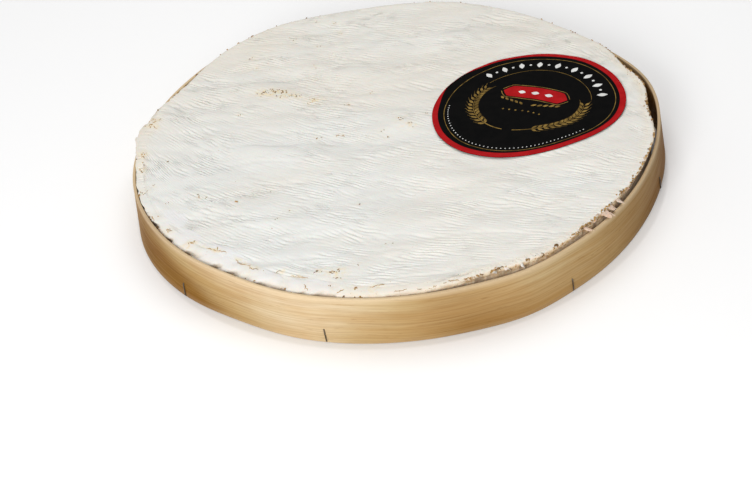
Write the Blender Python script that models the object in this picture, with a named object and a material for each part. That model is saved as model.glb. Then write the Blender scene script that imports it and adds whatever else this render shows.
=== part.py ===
"""A whole soft-ripened cheese wheel in its thin wooden hoop, with a round paper label on top.

Metres, +Z up. The origin is on the table under the middle of the hoop.
The front of the wheel faces -Y.
"""

import math

import bmesh
import bpy
from mathutils import Vector

# Hoop: one thin strip bent round the cheese, its ends lapped and stapled at the back
HOOP_RADIUS = 0.1834
HOOP_HEIGHT = 0.036
STRIP_THICKNESS = 0.0022
STRIP_EDGE = 0.0005
HOOP_STEPS = 128
LAP_START = 78.0
LAP_END = 101.0
LAP_STEP = 0.0012
LAP_FADE = 14.0

# Soft bulges of the hoop, each an angle in degrees, a size and a half-width in degrees
HOOP_BULGES = (
    (10.0, 0.0047, 16.0),
    (35.0, -0.0054, 24.0),
    (122.0, 0.0038, 20.0),
    (190.0, 0.0014, 17.0),
    (231.0, -0.0021, 11.0),
    (292.0, 0.0021, 9.0),
    (331.0, -0.0014, 21.0),
)
# The foot of the hoop stands further out than its rim at the left and the right
FOOT_SPREADS = (
    (202.0, 0.0034, 26.0),
    (2.0, 0.0040, 24.0),
)

# Cheese: how far its side stands in from the hoop
SIDE_GAP = 0.0008
SIDE_GAPS = (
    (357.0, 0.0048, 9.0),
    (14.0, 0.0056, 7.0),
    (286.0, 0.0032, 7.0),
    (322.0, 0.0008, 16.0),
    (93.0, 0.0010, 8.0),
    (147.0, 0.0016, 6.0),
)
# Top of the cheese: its height in the middle, its rise to the right and the back, and its sag
CROWN_HEIGHT = 0.0370
CROWN_RISE_X = 0.020
CROWN_RISE_Y = 0.008
CROWN_DISH = 0.08
CROWN_SPREAD = 5.0
# How far its edge stands over or under that
EDGE_LIFTS = (
    (236.0, -0.0004, 30.0),
    (358.0, -0.0020, 24.0),
    (123.0, 0.0030, 18.0),
    (167.0, 0.0034, 19.0),
    (44.0, -0.0023, 28.0),
)
# Rind that spreads over the rim at the left, and its least height over the rim
OVERHANG = (162.0, 0.0026, 11.0)
OVERHANG_CLEAR = 0.0005
SHOULDER_WIDTH = 0.0034
SHOULDER_DROP = 0.0026
SOFT_SHOULDER = (236.0, 34.0)
SOFT_SHOULDER_WIDTH = 0.0100
SOFT_SHOULDER_DROP = 0.0046
SIDE_HOLLOW = 0.0014
FOOT_ROUND = 0.0060
RIM_WOBBLE = 0.0005
CHEESE_GRID = 32

# Low folds of the rind, each a length, a height, a direction in degrees and a sway
FOLDS = (
    (0.058, 0.00055, 62.0, 0.9),
    (0.037, 0.00035, 74.0, 1.3),
    (0.088, 0.00060, 15.0, 0.6),
)

# Label: a paper disc that follows the top of the cheese
LABEL_CENTRE = (0.0958, 0.0097)
LABEL_RADIUS = 0.0663
# How its edge departs from round, each a number of lobes, a size and an angle in degrees
LABEL_LOBES = (
    (2, 0.0032, 20.0),
    (3, 0.0010, -25.0),
    (4, 0.0007, -37.0),
)
LABEL_THICKNESS = 0.0004
LABEL_LIFT = 0.0004
LABEL_GRID = 14
LABEL_CALM = 0.55

# Staples: bent wires, some round the foot of the hoop and a group at the lap
WIRE_RADIUS = 0.00045
WIRE_STAND_OFF = 0.0003
FOOT_STAPLES = (216.4, 251.5, 303.0, 342.0, 22.0, 144.0, 171.0)
FOOT_STAPLE_LENGTH = 0.0100
FOOT_STAPLE_LEAN = 4.0
LAP_STAPLES = 4
LAP_STAPLE_LENGTH = 0.0110


def bell(angle, centre, width):
    """Smooth bell over angles in degrees, 1 at its centre."""
    away = (angle - centre + 180.0) % 360.0 - 180.0
    return math.exp(-((away / width) ** 2))


def bells(angle, entries):
    """Sum of the bells of one list at an angle."""
    total = 0.0
    for centre, size, width in entries:
        total += size * bell(angle, centre, width)
    return total


def smooth(value):
    """Ease from 0 to 1."""
    value = min(max(value, 0.0), 1.0)
    return value * value * (3.0 - 2.0 * value)


def lap_inside(angle):
    """How far the tucked-in end stands in from the hoop's own inner face."""
    if angle < LAP_START or angle > LAP_END + LAP_FADE:
        return 0.0
    return LAP_STEP * (1.0 - smooth((angle - LAP_END) / LAP_FADE))


def lap_outside(angle):
    """How far the outer end stands out from the hoop's own outer face."""
    if angle > LAP_END or angle < LAP_START - LAP_FADE:
        return 0.0
    return LAP_STEP * smooth((angle - LAP_START + LAP_FADE) / LAP_FADE)


def hoop_outline(angle):
    """Outer radius of the rim of the hoop, without the lap."""
    return HOOP_RADIUS + bells(angle, HOOP_BULGES)


def hoop_lean(angle, height):
    """How far the wall stands out at a height, none at the rim."""
    return bells(angle, FOOT_SPREADS) * (1.0 - height / HOOP_HEIGHT)


def cheese_edge(angle):
    """Largest radius of the cheese inside the hoop."""
    inside = hoop_outline(angle) - STRIP_THICKNESS - lap_inside(angle)
    turn = math.radians(angle)
    wobble = 0.5 - 0.3 * math.sin(17.0 * turn) - 0.2 * math.sin(41.0 * turn + 1.0)
    return inside - SIDE_GAP - bells(angle, SIDE_GAPS) - RIM_WOBBLE * wobble


def crown_height(x, y):
    """Height of the top of the cheese without its folds and its own edge."""
    return CROWN_HEIGHT + CROWN_RISE_X * x + CROWN_RISE_Y * y + CROWN_DISH * (x * x + y * y)


def shoulder(angle):
    """Width and drop of the rounding between top and side."""
    soft = bell(angle, *SOFT_SHOULDER)
    width = SHOULDER_WIDTH + (SOFT_SHOULDER_WIDTH - SHOULDER_WIDTH) * soft
    drop = SHOULDER_DROP + (SOFT_SHOULDER_DROP - SHOULDER_DROP) * soft
    return width, drop


def edge_height(angle):
    """Height of the top edge of the cheese over the table."""
    reach = cheese_edge(angle) - shoulder(angle)[0]
    turn = math.radians(angle)
    level = crown_height(reach * math.cos(turn), reach * math.sin(turn))
    return level + bells(angle, EDGE_LIFTS)


def folds(x, y):
    """Low folds of the rind, calmer under the label."""
    height = 0.0
    for length, size, direction, sway in FOLDS:
        turn = math.radians(direction)
        along = x * math.cos(turn) + y * math.sin(turn)
        across = y * math.cos(turn) - x * math.sin(turn)
        bend = sway * math.sin(across / (0.21 * length + 0.02))
        height += size * math.sin(math.tau * along / length + bend)
    away = math.hypot(x - LABEL_CENTRE[0], y - LABEL_CENTRE[1]) / LABEL_RADIUS
    calm = LABEL_CALM + (1.0 - LABEL_CALM) * smooth(away - 0.8)
    return height * calm


def top_height(x, y):
    """Height of the top of the cheese at a place inside its shoulder."""
    angle = math.degrees(math.atan2(y, x)) % 360.0
    width, drop = shoulder(angle)
    share = math.hypot(x, y) / (cheese_edge(angle) - width)
    share = min(share, 1.0)
    edge = bells(angle, EDGE_LIFTS) * share ** CROWN_SPREAD
    return crown_height(x, y) + edge + folds(x, y) * (1.0 - share ** 8.0)


def overhang(angle):
    """How far the rind spreads out over the rim, none where it isn't clear above it."""
    above = edge_height(angle) - shoulder(angle)[1] - HOOP_HEIGHT - OVERHANG_CLEAR
    return bells(angle, (OVERHANG,)) * smooth(above / OVERHANG_CLEAR)


def cheese_profile(angle):
    """Radius and height of the rings from the shoulder down to the underside."""
    edge = cheese_edge(angle)
    over = overhang(angle)
    width, drop = shoulder(angle)
    top = edge_height(angle)
    rings = []
    for degrees in (32.0, 62.0, 90.0):
        turn = math.radians(degrees)
        radius = edge - width + (width + over) * math.sin(turn)
        rings.append((radius, top - drop * (1.0 - math.cos(turn))))
    rings.append((edge - 0.0002, top - drop - 0.4 * OVERHANG_CLEAR))
    rings.append((edge - 0.6 * SIDE_HOLLOW, 0.68 * HOOP_HEIGHT))
    rings.append((edge - SIDE_HOLLOW, 0.40 * HOOP_HEIGHT))
    rings.append((edge - 0.5 * SIDE_HOLLOW, FOOT_ROUND))
    rings.append((edge - 0.30 * FOOT_ROUND, 0.28 * FOOT_ROUND))
    rings.append((edge - FOOT_ROUND, 0.0))
    return rings


def label_reach(turn):
    """Radius of the label at an angle in radians round its own middle."""
    reach = LABEL_RADIUS
    for lobes, size, degrees in LABEL_LOBES:
        reach += size * math.cos(lobes * (turn - math.radians(degrees)))
    return reach


def disc_point(u, v):
    """Place of a square grid's point on a round disc of radius 1."""
    x = u * math.sqrt(1.0 - 0.5 * v * v)
    y = v * math.sqrt(1.0 - 0.5 * u * u)
    return x, y


def angle_of(vertex):
    """Angle of a vertex round the middle, in degrees from +X."""
    return math.degrees(math.atan2(vertex.co.y, vertex.co.x)) % 360.0


def add_object(name, mesh_data, material, shift):
    """New object at a place, with its material and smooth shading."""
    mesh = bpy.data.meshes.new(name)
    mesh_data.to_mesh(mesh)
    mesh_data.free()
    mesh.shade_smooth()
    mesh.set_sharp_from_angle(angle=math.radians(40.0))
    mesh.materials.append(material)
    new = bpy.data.objects.new(name, mesh)
    new.location = shift
    bpy.context.scene.collection.objects.link(new)
    return new


def make_material(name, colour, roughness, metallic=0.0):
    """Plain Principled material."""
    material = bpy.data.materials.new(name)
    material.use_nodes = True
    shader = material.node_tree.nodes["Principled BSDF"]
    shader.inputs["Base Color"].default_value = (*colour, 1.0)
    shader.inputs["Roughness"].default_value = roughness
    shader.inputs["Metallic"].default_value = metallic
    return material


def build_cheese(shift):
    """The wheel: a gridded top, a rounded shoulder, a side and a flat underside."""
    work = bmesh.new()
    bmesh.ops.create_grid(work, x_segments=CHEESE_GRID, y_segments=CHEESE_GRID, size=1.0)
    for vertex in work.verts:
        x, y = disc_point(vertex.co.x, vertex.co.y)
        angle = math.degrees(math.atan2(y, x)) % 360.0
        reach = cheese_edge(angle) - shoulder(angle)[0]
        vertex.co = Vector((x * reach, y * reach, 0.0))
        vertex.co.z = top_height(vertex.co.x, vertex.co.y)
    ring = [edge for edge in work.edges if edge.is_boundary]
    for level in range(len(cheese_profile(0.0))):
        grown = bmesh.ops.extrude_edge_only(work, edges=ring)["geom"]
        ring = [item for item in grown if isinstance(item, bmesh.types.BMEdge)]
        for vertex in [item for item in grown if isinstance(item, bmesh.types.BMVert)]:
            angle = angle_of(vertex)
            radius, height = cheese_profile(angle)[level]
            turn = math.radians(angle)
            vertex.co = Vector((radius * math.cos(turn), radius * math.sin(turn), height))
    underside = bmesh.ops.edgeloop_fill(work, edges=ring)["faces"]
    bmesh.ops.poke(work, faces=underside)
    bmesh.ops.recalc_face_normals(work, faces=work.faces)
    material = make_material("white rind", (0.78, 0.77, 0.74), 0.75)
    return add_object("cheese", work, material, shift)


def build_label(shift):
    """The paper disc, both faces gridded alike."""
    work = bmesh.new()
    bmesh.ops.create_grid(work, x_segments=LABEL_GRID, y_segments=LABEL_GRID, size=1.0)
    for vertex in work.verts:
        x, y = disc_point(vertex.co.x, vertex.co.y)
        reach = label_reach(math.atan2(y, x))
        place_x = LABEL_CENTRE[0] + reach * x
        place_y = LABEL_CENTRE[1] + reach * y
        height = top_height(place_x, place_y) + LABEL_LIFT
        vertex.co = Vector((place_x, place_y, height))
    bmesh.ops.triangulate(work, faces=work.faces, quad_method="FIXED")
    grown = bmesh.ops.extrude_face_region(work, geom=work.faces[:])["geom"]
    for vertex in [item for item in grown if isinstance(item, bmesh.types.BMVert)]:
        vertex.co.z += LABEL_THICKNESS
    bmesh.ops.recalc_face_normals(work, faces=work.faces)
    material = make_material("label paper", (0.02, 0.018, 0.02), 0.5)
    return add_object("label", work, material, shift)


def hoop_section(angle):
    """Corner points of the strip's cross-section, each a radius and a height."""
    outer = hoop_outline(angle) + lap_outside(angle)
    inner = hoop_outline(angle) - STRIP_THICKNESS - lap_inside(angle)
    corners = (
        (outer - STRIP_EDGE, 0.0),
        (outer, STRIP_EDGE),
        (outer, HOOP_HEIGHT - STRIP_EDGE),
        (outer - STRIP_EDGE, HOOP_HEIGHT),
        (inner + STRIP_EDGE, HOOP_HEIGHT),
        (inner, HOOP_HEIGHT - STRIP_EDGE),
        (inner, STRIP_EDGE),
        (inner + STRIP_EDGE, 0.0),
    )
    return [(radius + hoop_lean(angle, height), height) for radius, height in corners]


def hoop_angles():
    """Even steps round the hoop, with a close pair of steps at each end of the lap."""
    angles = [360.0 * step / HOOP_STEPS for step in range(HOOP_STEPS)]
    near = 1.0
    angles = [a for a in angles if abs(a - LAP_START) > near and abs(a - LAP_END) > near]
    for end in (LAP_START, LAP_END):
        angles += [end - 0.05, end + 0.05]
    return sorted(angles)


def build_hoop(shift):
    """The strip as one closed band, thicker where its two ends lap."""
    work = bmesh.new()
    loops = []
    for angle in hoop_angles():
        turn = math.radians(angle)
        loop = []
        for radius, height in hoop_section(angle):
            loop.append(work.verts.new((radius * math.cos(turn), radius * math.sin(turn), height)))
        loops.append(loop)
    for here, there in zip(loops, loops[1:] + loops[:1]):
        for corner in range(len(here)):
            after = (corner + 1) % len(here)
            work.faces.new((here[corner], there[corner], there[after], here[after]))
    bmesh.ops.recalc_face_normals(work, faces=work.faces)
    material = make_material("poplar strip", (0.66, 0.47, 0.27), 0.6)
    return add_object("hoop", work, material, shift)


def wire_run(name, points, shift, material):
    """A wire through a few points, as one closed round bar."""
    curve = bpy.data.curves.new(name, "CURVE")
    curve.dimensions = "3D"
    curve.bevel_depth = WIRE_RADIUS
    curve.bevel_resolution = 1
    curve.use_fill_caps = True
    spline = curve.splines.new("POLY")
    spline.points.add(len(points) - 1)
    for point, place in zip(spline.points, points):
        point.co = (*place, 1.0)
    curve.materials.append(material)
    new = bpy.data.objects.new(name, curve)
    new.location = shift
    bpy.context.scene.collection.objects.link(new)
    return new


def on_hoop(angle, height, out):
    """Place on the outer face of the hoop, a little out from it."""
    radius = hoop_outline(angle) + lap_outside(angle) + hoop_lean(angle, height) + out
    turn = math.radians(angle)
    return Vector((radius * math.cos(turn), radius * math.sin(turn), height))


def build_staples(shift):
    """Upright wires round the foot, and a row of upright wires at the lap."""
    steel = make_material("staple wire", (0.45, 0.43, 0.40), 0.35, 1.0)
    out = WIRE_RADIUS + WIRE_STAND_OFF
    for number, angle in enumerate(FOOT_STAPLES, 1):
        lean = math.degrees(FOOT_STAPLE_LENGTH * math.tan(math.radians(FOOT_STAPLE_LEAN)) / HOOP_RADIUS)
        low = on_hoop(angle + 0.5 * lean, 0.0008, out)
        high = on_hoop(angle - 0.5 * lean, 0.0008 + FOOT_STAPLE_LENGTH, out)
        wire_run("foot_staple_%d" % number, (low, high), shift, steel)
    for number in range(LAP_STAPLES):
        angle = LAP_START + (LAP_END - LAP_START) * (number + 0.5) / LAP_STAPLES
        middle = HOOP_HEIGHT * (0.5 + 0.12 * (-1) ** number)
        low = on_hoop(angle, middle - 0.5 * LAP_STAPLE_LENGTH, out)
        high = on_hoop(angle, middle + 0.5 * LAP_STAPLE_LENGTH, out)
        wire_run("lap_staple_%d" % (number + 1), (low, high), shift, steel)


def hoop_middle():
    """Middle of the box round the hoop, seen from above."""
    xs = []
    ys = []
    for angle in hoop_angles():
        turn = math.radians(angle)
        reach = max(radius for radius, height in hoop_section(angle))
        xs.append(reach * math.cos(turn))
        ys.append(reach * math.sin(turn))
    return Vector((0.5 * (min(xs) + max(xs)), 0.5 * (min(ys) + max(ys)), 0.0))


def main():
    """Clear the scene and make the wheel, its label, its hoop and the staples."""
    for old in list(bpy.data.objects):
        bpy.data.objects.remove(old, do_unlink=True)
    shift = -hoop_middle()
    build_cheese(shift)
    build_label(shift)
    build_hoop(shift)
    build_staples(shift)


main()
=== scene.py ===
"""Looks of a whole soft-ripened cheese wheel in its thin wooden hoop, with a round paper label.

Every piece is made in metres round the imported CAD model, which is loaded first.
"""

import math

import bpy
import numpy as np
from bpy.props import FloatProperty, FloatVectorProperty, IntProperty, PointerProperty
from mathutils import Matrix, Vector


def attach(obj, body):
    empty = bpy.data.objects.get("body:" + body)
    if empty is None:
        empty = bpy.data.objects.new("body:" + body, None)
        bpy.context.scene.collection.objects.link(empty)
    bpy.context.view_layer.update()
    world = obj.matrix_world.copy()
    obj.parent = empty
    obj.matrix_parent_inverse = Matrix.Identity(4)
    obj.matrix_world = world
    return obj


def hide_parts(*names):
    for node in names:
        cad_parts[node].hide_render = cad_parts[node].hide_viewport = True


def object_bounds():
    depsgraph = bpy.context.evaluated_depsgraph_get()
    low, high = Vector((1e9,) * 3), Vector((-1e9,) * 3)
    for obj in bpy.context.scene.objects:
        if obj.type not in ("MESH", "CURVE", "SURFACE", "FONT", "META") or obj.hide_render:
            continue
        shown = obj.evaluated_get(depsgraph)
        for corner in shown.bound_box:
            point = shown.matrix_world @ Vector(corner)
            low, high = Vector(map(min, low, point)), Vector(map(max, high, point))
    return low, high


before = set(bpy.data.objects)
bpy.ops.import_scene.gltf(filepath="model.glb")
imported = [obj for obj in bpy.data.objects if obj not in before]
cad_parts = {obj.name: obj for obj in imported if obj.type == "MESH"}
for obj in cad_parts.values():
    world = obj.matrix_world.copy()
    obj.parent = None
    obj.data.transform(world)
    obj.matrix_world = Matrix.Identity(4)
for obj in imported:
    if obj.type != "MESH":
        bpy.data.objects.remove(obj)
CAD_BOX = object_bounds()

bl_info = {
    "name": "Soft cheese wheel",
    "version": (1, 0, 0),
    "blender": (4, 5, 0),
    "location": "View3D > Sidebar > Cheese",
    "description": "Makes the rind, crust, label, hoop and staples of a whole soft cheese wheel",
    "category": "Add Mesh",
}

# Forms repeated from the part's source, in metres and degrees about the middle of the hoop's circle
HOOP_RADIUS = 0.1834
HOOP_HEIGHT = 0.036
STRIP_THICKNESS = 0.0022
STRIP_EDGE = 0.0005
HOOP_STEPS = 128
LAP_START = 78.0
LAP_END = 101.0
LAP_STEP = 0.0012
LAP_FADE = 14.0
HOOP_BULGES = (
    (10.0, 0.0047, 16.0),
    (35.0, -0.0054, 24.0),
    (122.0, 0.0038, 20.0),
    (190.0, 0.0014, 17.0),
    (231.0, -0.0021, 11.0),
    (292.0, 0.0021, 9.0),
    (331.0, -0.0014, 21.0),
)
FOOT_SPREADS = ((202.0, 0.0034, 26.0), (2.0, 0.0040, 24.0))
SIDE_GAP = 0.0008
SIDE_GAPS = (
    (357.0, 0.0048, 9.0),
    (14.0, 0.0056, 7.0),
    (286.0, 0.0032, 7.0),
    (322.0, 0.0008, 16.0),
    (93.0, 0.0010, 8.0),
    (147.0, 0.0016, 6.0),
)
CROWN_HEIGHT = 0.0370
CROWN_RISE_X = 0.020
CROWN_RISE_Y = 0.008
CROWN_DISH = 0.08
CROWN_SPREAD = 5.0
EDGE_LIFTS = (
    (236.0, -0.0004, 30.0),
    (358.0, -0.0020, 24.0),
    (123.0, 0.0030, 18.0),
    (167.0, 0.0034, 19.0),
    (44.0, -0.0023, 28.0),
)
OVERHANG = (162.0, 0.0026, 11.0)
OVERHANG_CLEAR = 0.0005
SHOULDER_WIDTH = 0.0034
SHOULDER_DROP = 0.0026
SOFT_SHOULDER = (236.0, 34.0)
SOFT_SHOULDER_WIDTH = 0.0100
SOFT_SHOULDER_DROP = 0.0046
SIDE_HOLLOW = 0.0014
FOOT_ROUND = 0.0060
RIM_WOBBLE = 0.0005
FOLDS = (
    (0.058, 0.00055, 62.0, 0.9),
    (0.037, 0.00035, 74.0, 1.3),
    (0.088, 0.00060, 15.0, 0.6),
)
LABEL_CENTRE = (0.0958, 0.0097)
LABEL_RADIUS = 0.0663
LABEL_LOBES = ((2, 0.0032, 20.0), (3, 0.0010, -25.0), (4, 0.0007, -37.0))
LABEL_CALM = 0.55
WIRE_RADIUS = 0.00045
WIRE_STAND_OFF = 0.0003
FOOT_STAPLES = (216.4, 251.5, 303.0, 342.0, 22.0, 144.0, 171.0)
FOOT_STAPLE_LENGTH = 0.0100
FOOT_STAPLE_LEAN = 4.0
LAP_STAPLES = 4
LAP_STAPLE_LENGTH = 0.0110

# Where the rind swells up to the hoop and closes the gap: an angle, a strength and a half-width in degrees
TOUCHES = ((185.0, 1.9, 14.0), (336.0, 1.6, 11.0), (303.0, 0.7, 3.2))
TOUCH_LIFT = 0.85
TOUCH_CLEAR = 0.00006

# Tongue of torn rind over the rim that the solid leaves out: an angle, a length and a half-width in degrees
TONGUE = (169.5, 0.0045, 5.6)

# Fine ridges left by the draining mat: their direction, the second set's tilt, and the bow over the wheel
RIDGE_DIRECTION = -33.0
RIDGE_TILT = math.radians(-14.0)
RIDGE_BOW = 0.10
SECOND_SPACING = 1.13
# How the ridges sway: a distance, the size of its patches and a seed
RIDGE_SWAYS = ((0.0046, 0.085, 1), (0.0038, 0.030, 2), (0.0015, 0.0105, 3))
RIDGE_SHIFT = 0.0015

# Points of the grid that follows the ridges, and the steps of the shoulder in degrees
GRID_ACROSS = 640
GRID_ALONG = 114
SHOULDER_STEPS = (14.0, 28.0, 42.0, 56.0, 72.0, 90.0)
BITE_DEPTH = 0.0034
BITE_FALL = 0.0012

# Points of the label's grid each way, lengths of the hoop's strip, and sides of curls and wires
LABEL_GRID = 104
HOOP_SLICES = 560
CURL_SIDES = 5
WIRE_SIDES = 10

# How far the print stands over the paper, how far it reaches down into it, and the points across each form
INK_LIFT = 0.00004
INK_DEPTH = 0.00006
INK_POINTS = 4

# Wear round the wheel, each an angle, a strength and a half-width in degrees
WORN_EDGE = (
    (300.0, 0.85, 34.0), (345.0, 0.9, 26.0), (8.0, 0.5, 16.0), (168.0, 0.20, 22.0), (225.0, 0.04, 30.0),
)
BARE_SIDE = ((308.0, 0.75, 45.0), (5.0, 0.6, 40.0))
TORN_SHOULDER = ((222.0, 1.0, 24.0), (250.0, 0.5, 12.0), (300.0, 0.35, 20.0), (160.0, 0.5, 14.0))
CRISP_LIP = (325.0, 52.0)
LIP_REACH = 0.45
LIP_FALL = 0.8

# Where curls lie round the rim: the first and last angle in degrees and a share of their number
CURL_SPANS = (
    (280.0, 322.0, 0.30),
    (322.0, 374.0, 0.38),
    (374.0, 400.0, 0.05),
    (140.0, 160.0, 0.05),
    (178.0, 268.0, 0.10),
    (40.0, 140.0, 0.05),
)

# Painted shade on the wood at its rim and at its foot, partly the wood's own tone: an angle, a strength and a
# half-width in degrees
RIM_SHADE = (
    (200.0, 0.72, 22.0), (275.0, 0.52, 16.0), (0.0, 0.85, 34.0), (312.0, 0.35, 24.0), (110.0, 0.35, 45.0),
)
FOOT_SHADE = (
    (213.0, 1.15, 19.0), (186.0, 0.45, 20.0), (236.0, 0.12, 10.0), (280.0, 0.72, 20.0),
    (258.0, 0.20, 8.0), (0.0, 1.0, 36.0), (320.0, 0.35, 24.0), (110.0, 0.40, 45.0),
)
ARC_PER_DEGREE = 0.0032

# Bend of a staple's wire into the wood, and how far its ends run on
STAPLE_BEND = 0.0009
STAPLE_END = 0.0010

# Way up of the printed design on the label
PRINT_UP = 57.0

# Camera, about the middle of the hoop's circle
CAMERA_PLACE = (-0.0026, -0.92225, 0.63555)
CAMERA_YAW = -1.246
CAMERA_PITCH = 36.822
CAMERA_ROLL = -7.785

# Floor, its glow outside the wheel, and the lights: a place, a size and the setting of the power
FLOOR_HALF = 4.0
FLOOR_HEIGHT = -0.0001
FLOOR_GLOW = 0.10
GLOW_START = 0.187
GLOW_END = 0.190
LIGHTS = {
    "front key": ((-0.50, -1.38, 0.74), 0.6, "key_power"),
    "wide top": ((0.1, 0.45, 1.5), 1.4, "top_power"),
    "left fill": ((-1.1, 0.9, 0.8), 0.9, "fill_power"),
}
LIGHT_TARGET = (0.0, 0.0, 0.02)

WHITE = (1.0, 1.0, 1.0)
BLACK = (0.0, 0.0, 0.0)


# Forms shared with the solids


def bell(angle, centre, width):
    """Smooth bell over angles in degrees, 1 at its centre."""
    away = (angle - centre + 180.0) % 360.0 - 180.0
    return np.exp(-((away / width) ** 2))


def bells(angle, entries):
    """Sum of the bells of one list at an angle."""
    return sum(size * bell(angle, centre, width) for centre, size, width in entries)


def smooth(value):
    """Ease from 0 to 1."""
    value = np.clip(value, 0.0, 1.0)
    return value * value * (3.0 - 2.0 * value)


def turned(x, y, degrees):
    """Coordinates along and across a direction."""
    turn = math.radians(degrees)
    return x * math.cos(turn) + y * math.sin(turn), y * math.cos(turn) - x * math.sin(turn)


def polar(radius, angle, height=0.0):
    """Place at an angle in degrees round the middle."""
    turn = math.radians(angle)
    return np.array((radius * math.cos(turn), radius * math.sin(turn), height))


def lap_inside(angle):
    """How far the tucked-in end stands in from the hoop's own inner face."""
    held = (angle >= LAP_START) & (angle <= LAP_END + LAP_FADE)
    return np.where(held, LAP_STEP * (1.0 - smooth((angle - LAP_END) / LAP_FADE)), 0.0)


def lap_outside(angle):
    """How far the outer end stands out from the hoop's own outer face."""
    held = (angle <= LAP_END) & (angle >= LAP_START - LAP_FADE)
    return np.where(held, LAP_STEP * smooth((angle - LAP_START + LAP_FADE) / LAP_FADE), 0.0)


def hoop_outline(angle):
    """Outer radius of the rim of the hoop, without the lap."""
    return HOOP_RADIUS + bells(angle, HOOP_BULGES)


def hoop_lean(angle, height):
    """How far the wall stands out at a height, none at the rim."""
    return bells(angle, FOOT_SPREADS) * (1.0 - height / HOOP_HEIGHT)


def cheese_edge(angle):
    """Largest radius of the cheese inside the hoop."""
    inside = hoop_outline(angle) - STRIP_THICKNESS - lap_inside(angle)
    turn = np.radians(angle)
    wobble = 0.5 - 0.3 * np.sin(17.0 * turn) - 0.2 * np.sin(41.0 * turn + 1.0)
    return inside - SIDE_GAP - bells(angle, SIDE_GAPS) - RIM_WOBBLE * wobble


def crown_height(x, y):
    """Height of the top of the cheese without its folds and its own edge."""
    return CROWN_HEIGHT + CROWN_RISE_X * x + CROWN_RISE_Y * y + CROWN_DISH * (x * x + y * y)


def shoulder(angle):
    """Width and drop of the rounding between top and side."""
    soft = bell(angle, *SOFT_SHOULDER)
    width = SHOULDER_WIDTH + (SOFT_SHOULDER_WIDTH - SHOULDER_WIDTH) * soft
    drop = SHOULDER_DROP + (SOFT_SHOULDER_DROP - SHOULDER_DROP) * soft
    return width, drop


def edge_height(angle):
    """Height of the top edge of the cheese over the table."""
    reach = cheese_edge(angle) - shoulder(angle)[0]
    turn = np.radians(angle)
    return crown_height(reach * np.cos(turn), reach * np.sin(turn)) + bells(angle, EDGE_LIFTS)


def label_away(x, y):
    """Distance from the middle of the label, 1 at its edge."""
    return np.hypot(x - LABEL_CENTRE[0], y - LABEL_CENTRE[1]) / LABEL_RADIUS


def folds(x, y):
    """Low folds of the rind, calmer under the label."""
    height = 0.0
    for length, size, direction, sway in FOLDS:
        along, across = turned(x, y, direction)
        bend = sway * np.sin(across / (0.21 * length + 0.02))
        height = height + size * np.sin(math.tau * along / length + bend)
    return height * (LABEL_CALM + (1.0 - LABEL_CALM) * smooth(label_away(x, y) - 0.8))


def angle_at(x, y):
    """Angle of a place round the middle, in degrees from +X."""
    return np.degrees(np.arctan2(y, x)) % 360.0


def top_height(x, y):
    """Height of the top of the cheese at a place inside its shoulder."""
    angle = angle_at(x, y)
    share = np.minimum(np.hypot(x, y) / (cheese_edge(angle) - shoulder(angle)[0]), 1.0)
    edge = bells(angle, EDGE_LIFTS) * share ** CROWN_SPREAD
    return crown_height(x, y) + edge + folds(x, y) * (1.0 - share ** 8.0)


def touching(angle):
    """Where the rind swells up to the hoop and fills the gap, 0 to 1."""
    return np.clip(bells(angle, TOUCHES), 0.0, 1.0)


def filling(angle):
    """How far the rind swells out into the gap inside the hoop."""
    return touching(angle) * (hoop_outline(angle) - STRIP_THICKNESS - cheese_edge(angle) - TOUCH_CLEAR)


def raised_drop(angle):
    """Drop of the shoulder, less where the rind swells up to the hoop."""
    return shoulder(angle)[1] * (1.0 - TOUCH_LIFT * touching(angle))


def spread(angle):
    """How far the torn rind spreads out over the rim, a little further than in the solid."""
    above = edge_height(angle) - raised_drop(angle) - HOOP_HEIGHT - OVERHANG_CLEAR
    return bells(angle, (OVERHANG, TONGUE)) * smooth(above / OVERHANG_CLEAR)


def label_reach(turn):
    """Radius of the label at an angle in radians round its own middle."""
    return LABEL_RADIUS + sum(
        size * np.cos(lobes * (turn - math.radians(degrees))) for lobes, size, degrees in LABEL_LOBES
    )


def hoop_middle():
    """Middle of the box round the hoop, seen from above, as the part's source works it out."""
    angles = [360.0 * step / HOOP_STEPS for step in range(HOOP_STEPS)]
    angles = [a for a in angles if abs(a - LAP_START) > 1.0 and abs(a - LAP_END) > 1.0]
    for end in (LAP_START, LAP_END):
        angles += [end - 0.05, end + 0.05]
    angles = np.array(sorted(angles))
    foot = hoop_outline(angles) + lap_outside(angles) + hoop_lean(angles, STRIP_EDGE)
    heel = hoop_outline(angles) + lap_outside(angles) - STRIP_EDGE + hoop_lean(angles, 0.0)
    rim = hoop_outline(angles) + lap_outside(angles)
    reach = np.maximum(np.maximum(foot, heel), rim)
    x = reach * np.cos(np.radians(angles))
    y = reach * np.sin(np.radians(angles))
    return Vector((0.5 * (x.min() + x.max()), 0.5 * (y.min() + y.max()), 0.0))


MIDDLE = hoop_middle()


# Seeded unevenness

LATTICE = np.random.default_rng(11).random((256, 256)) * math.tau


def mottle(x, y, size, seed=0):
    """Smooth unevenness from about -1 to 1, in patches of a size."""
    u = np.asarray(x) / size + 17.37 * seed
    v = np.asarray(y) / size + 41.71 * seed
    i = np.floor(u).astype(int)
    j = np.floor(v).astype(int)
    fu = u - i
    fv = v - j
    total = 0.0
    ease_u = fu * fu * fu * (fu * (fu * 6.0 - 15.0) + 10.0)
    ease_v = fv * fv * fv * (fv * (fv * 6.0 - 15.0) + 10.0)
    for di in (0, 1):
        for dj in (0, 1):
            slant = LATTICE[(i + di) % 256, (j + dj) % 256]
            pull = np.cos(slant) * (fu - di) + np.sin(slant) * (fv - dj)
            weight = (ease_u if di else 1.0 - ease_u) * (ease_v if dj else 1.0 - ease_v)
            total = total + pull * weight
    return 1.5 * total


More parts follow.
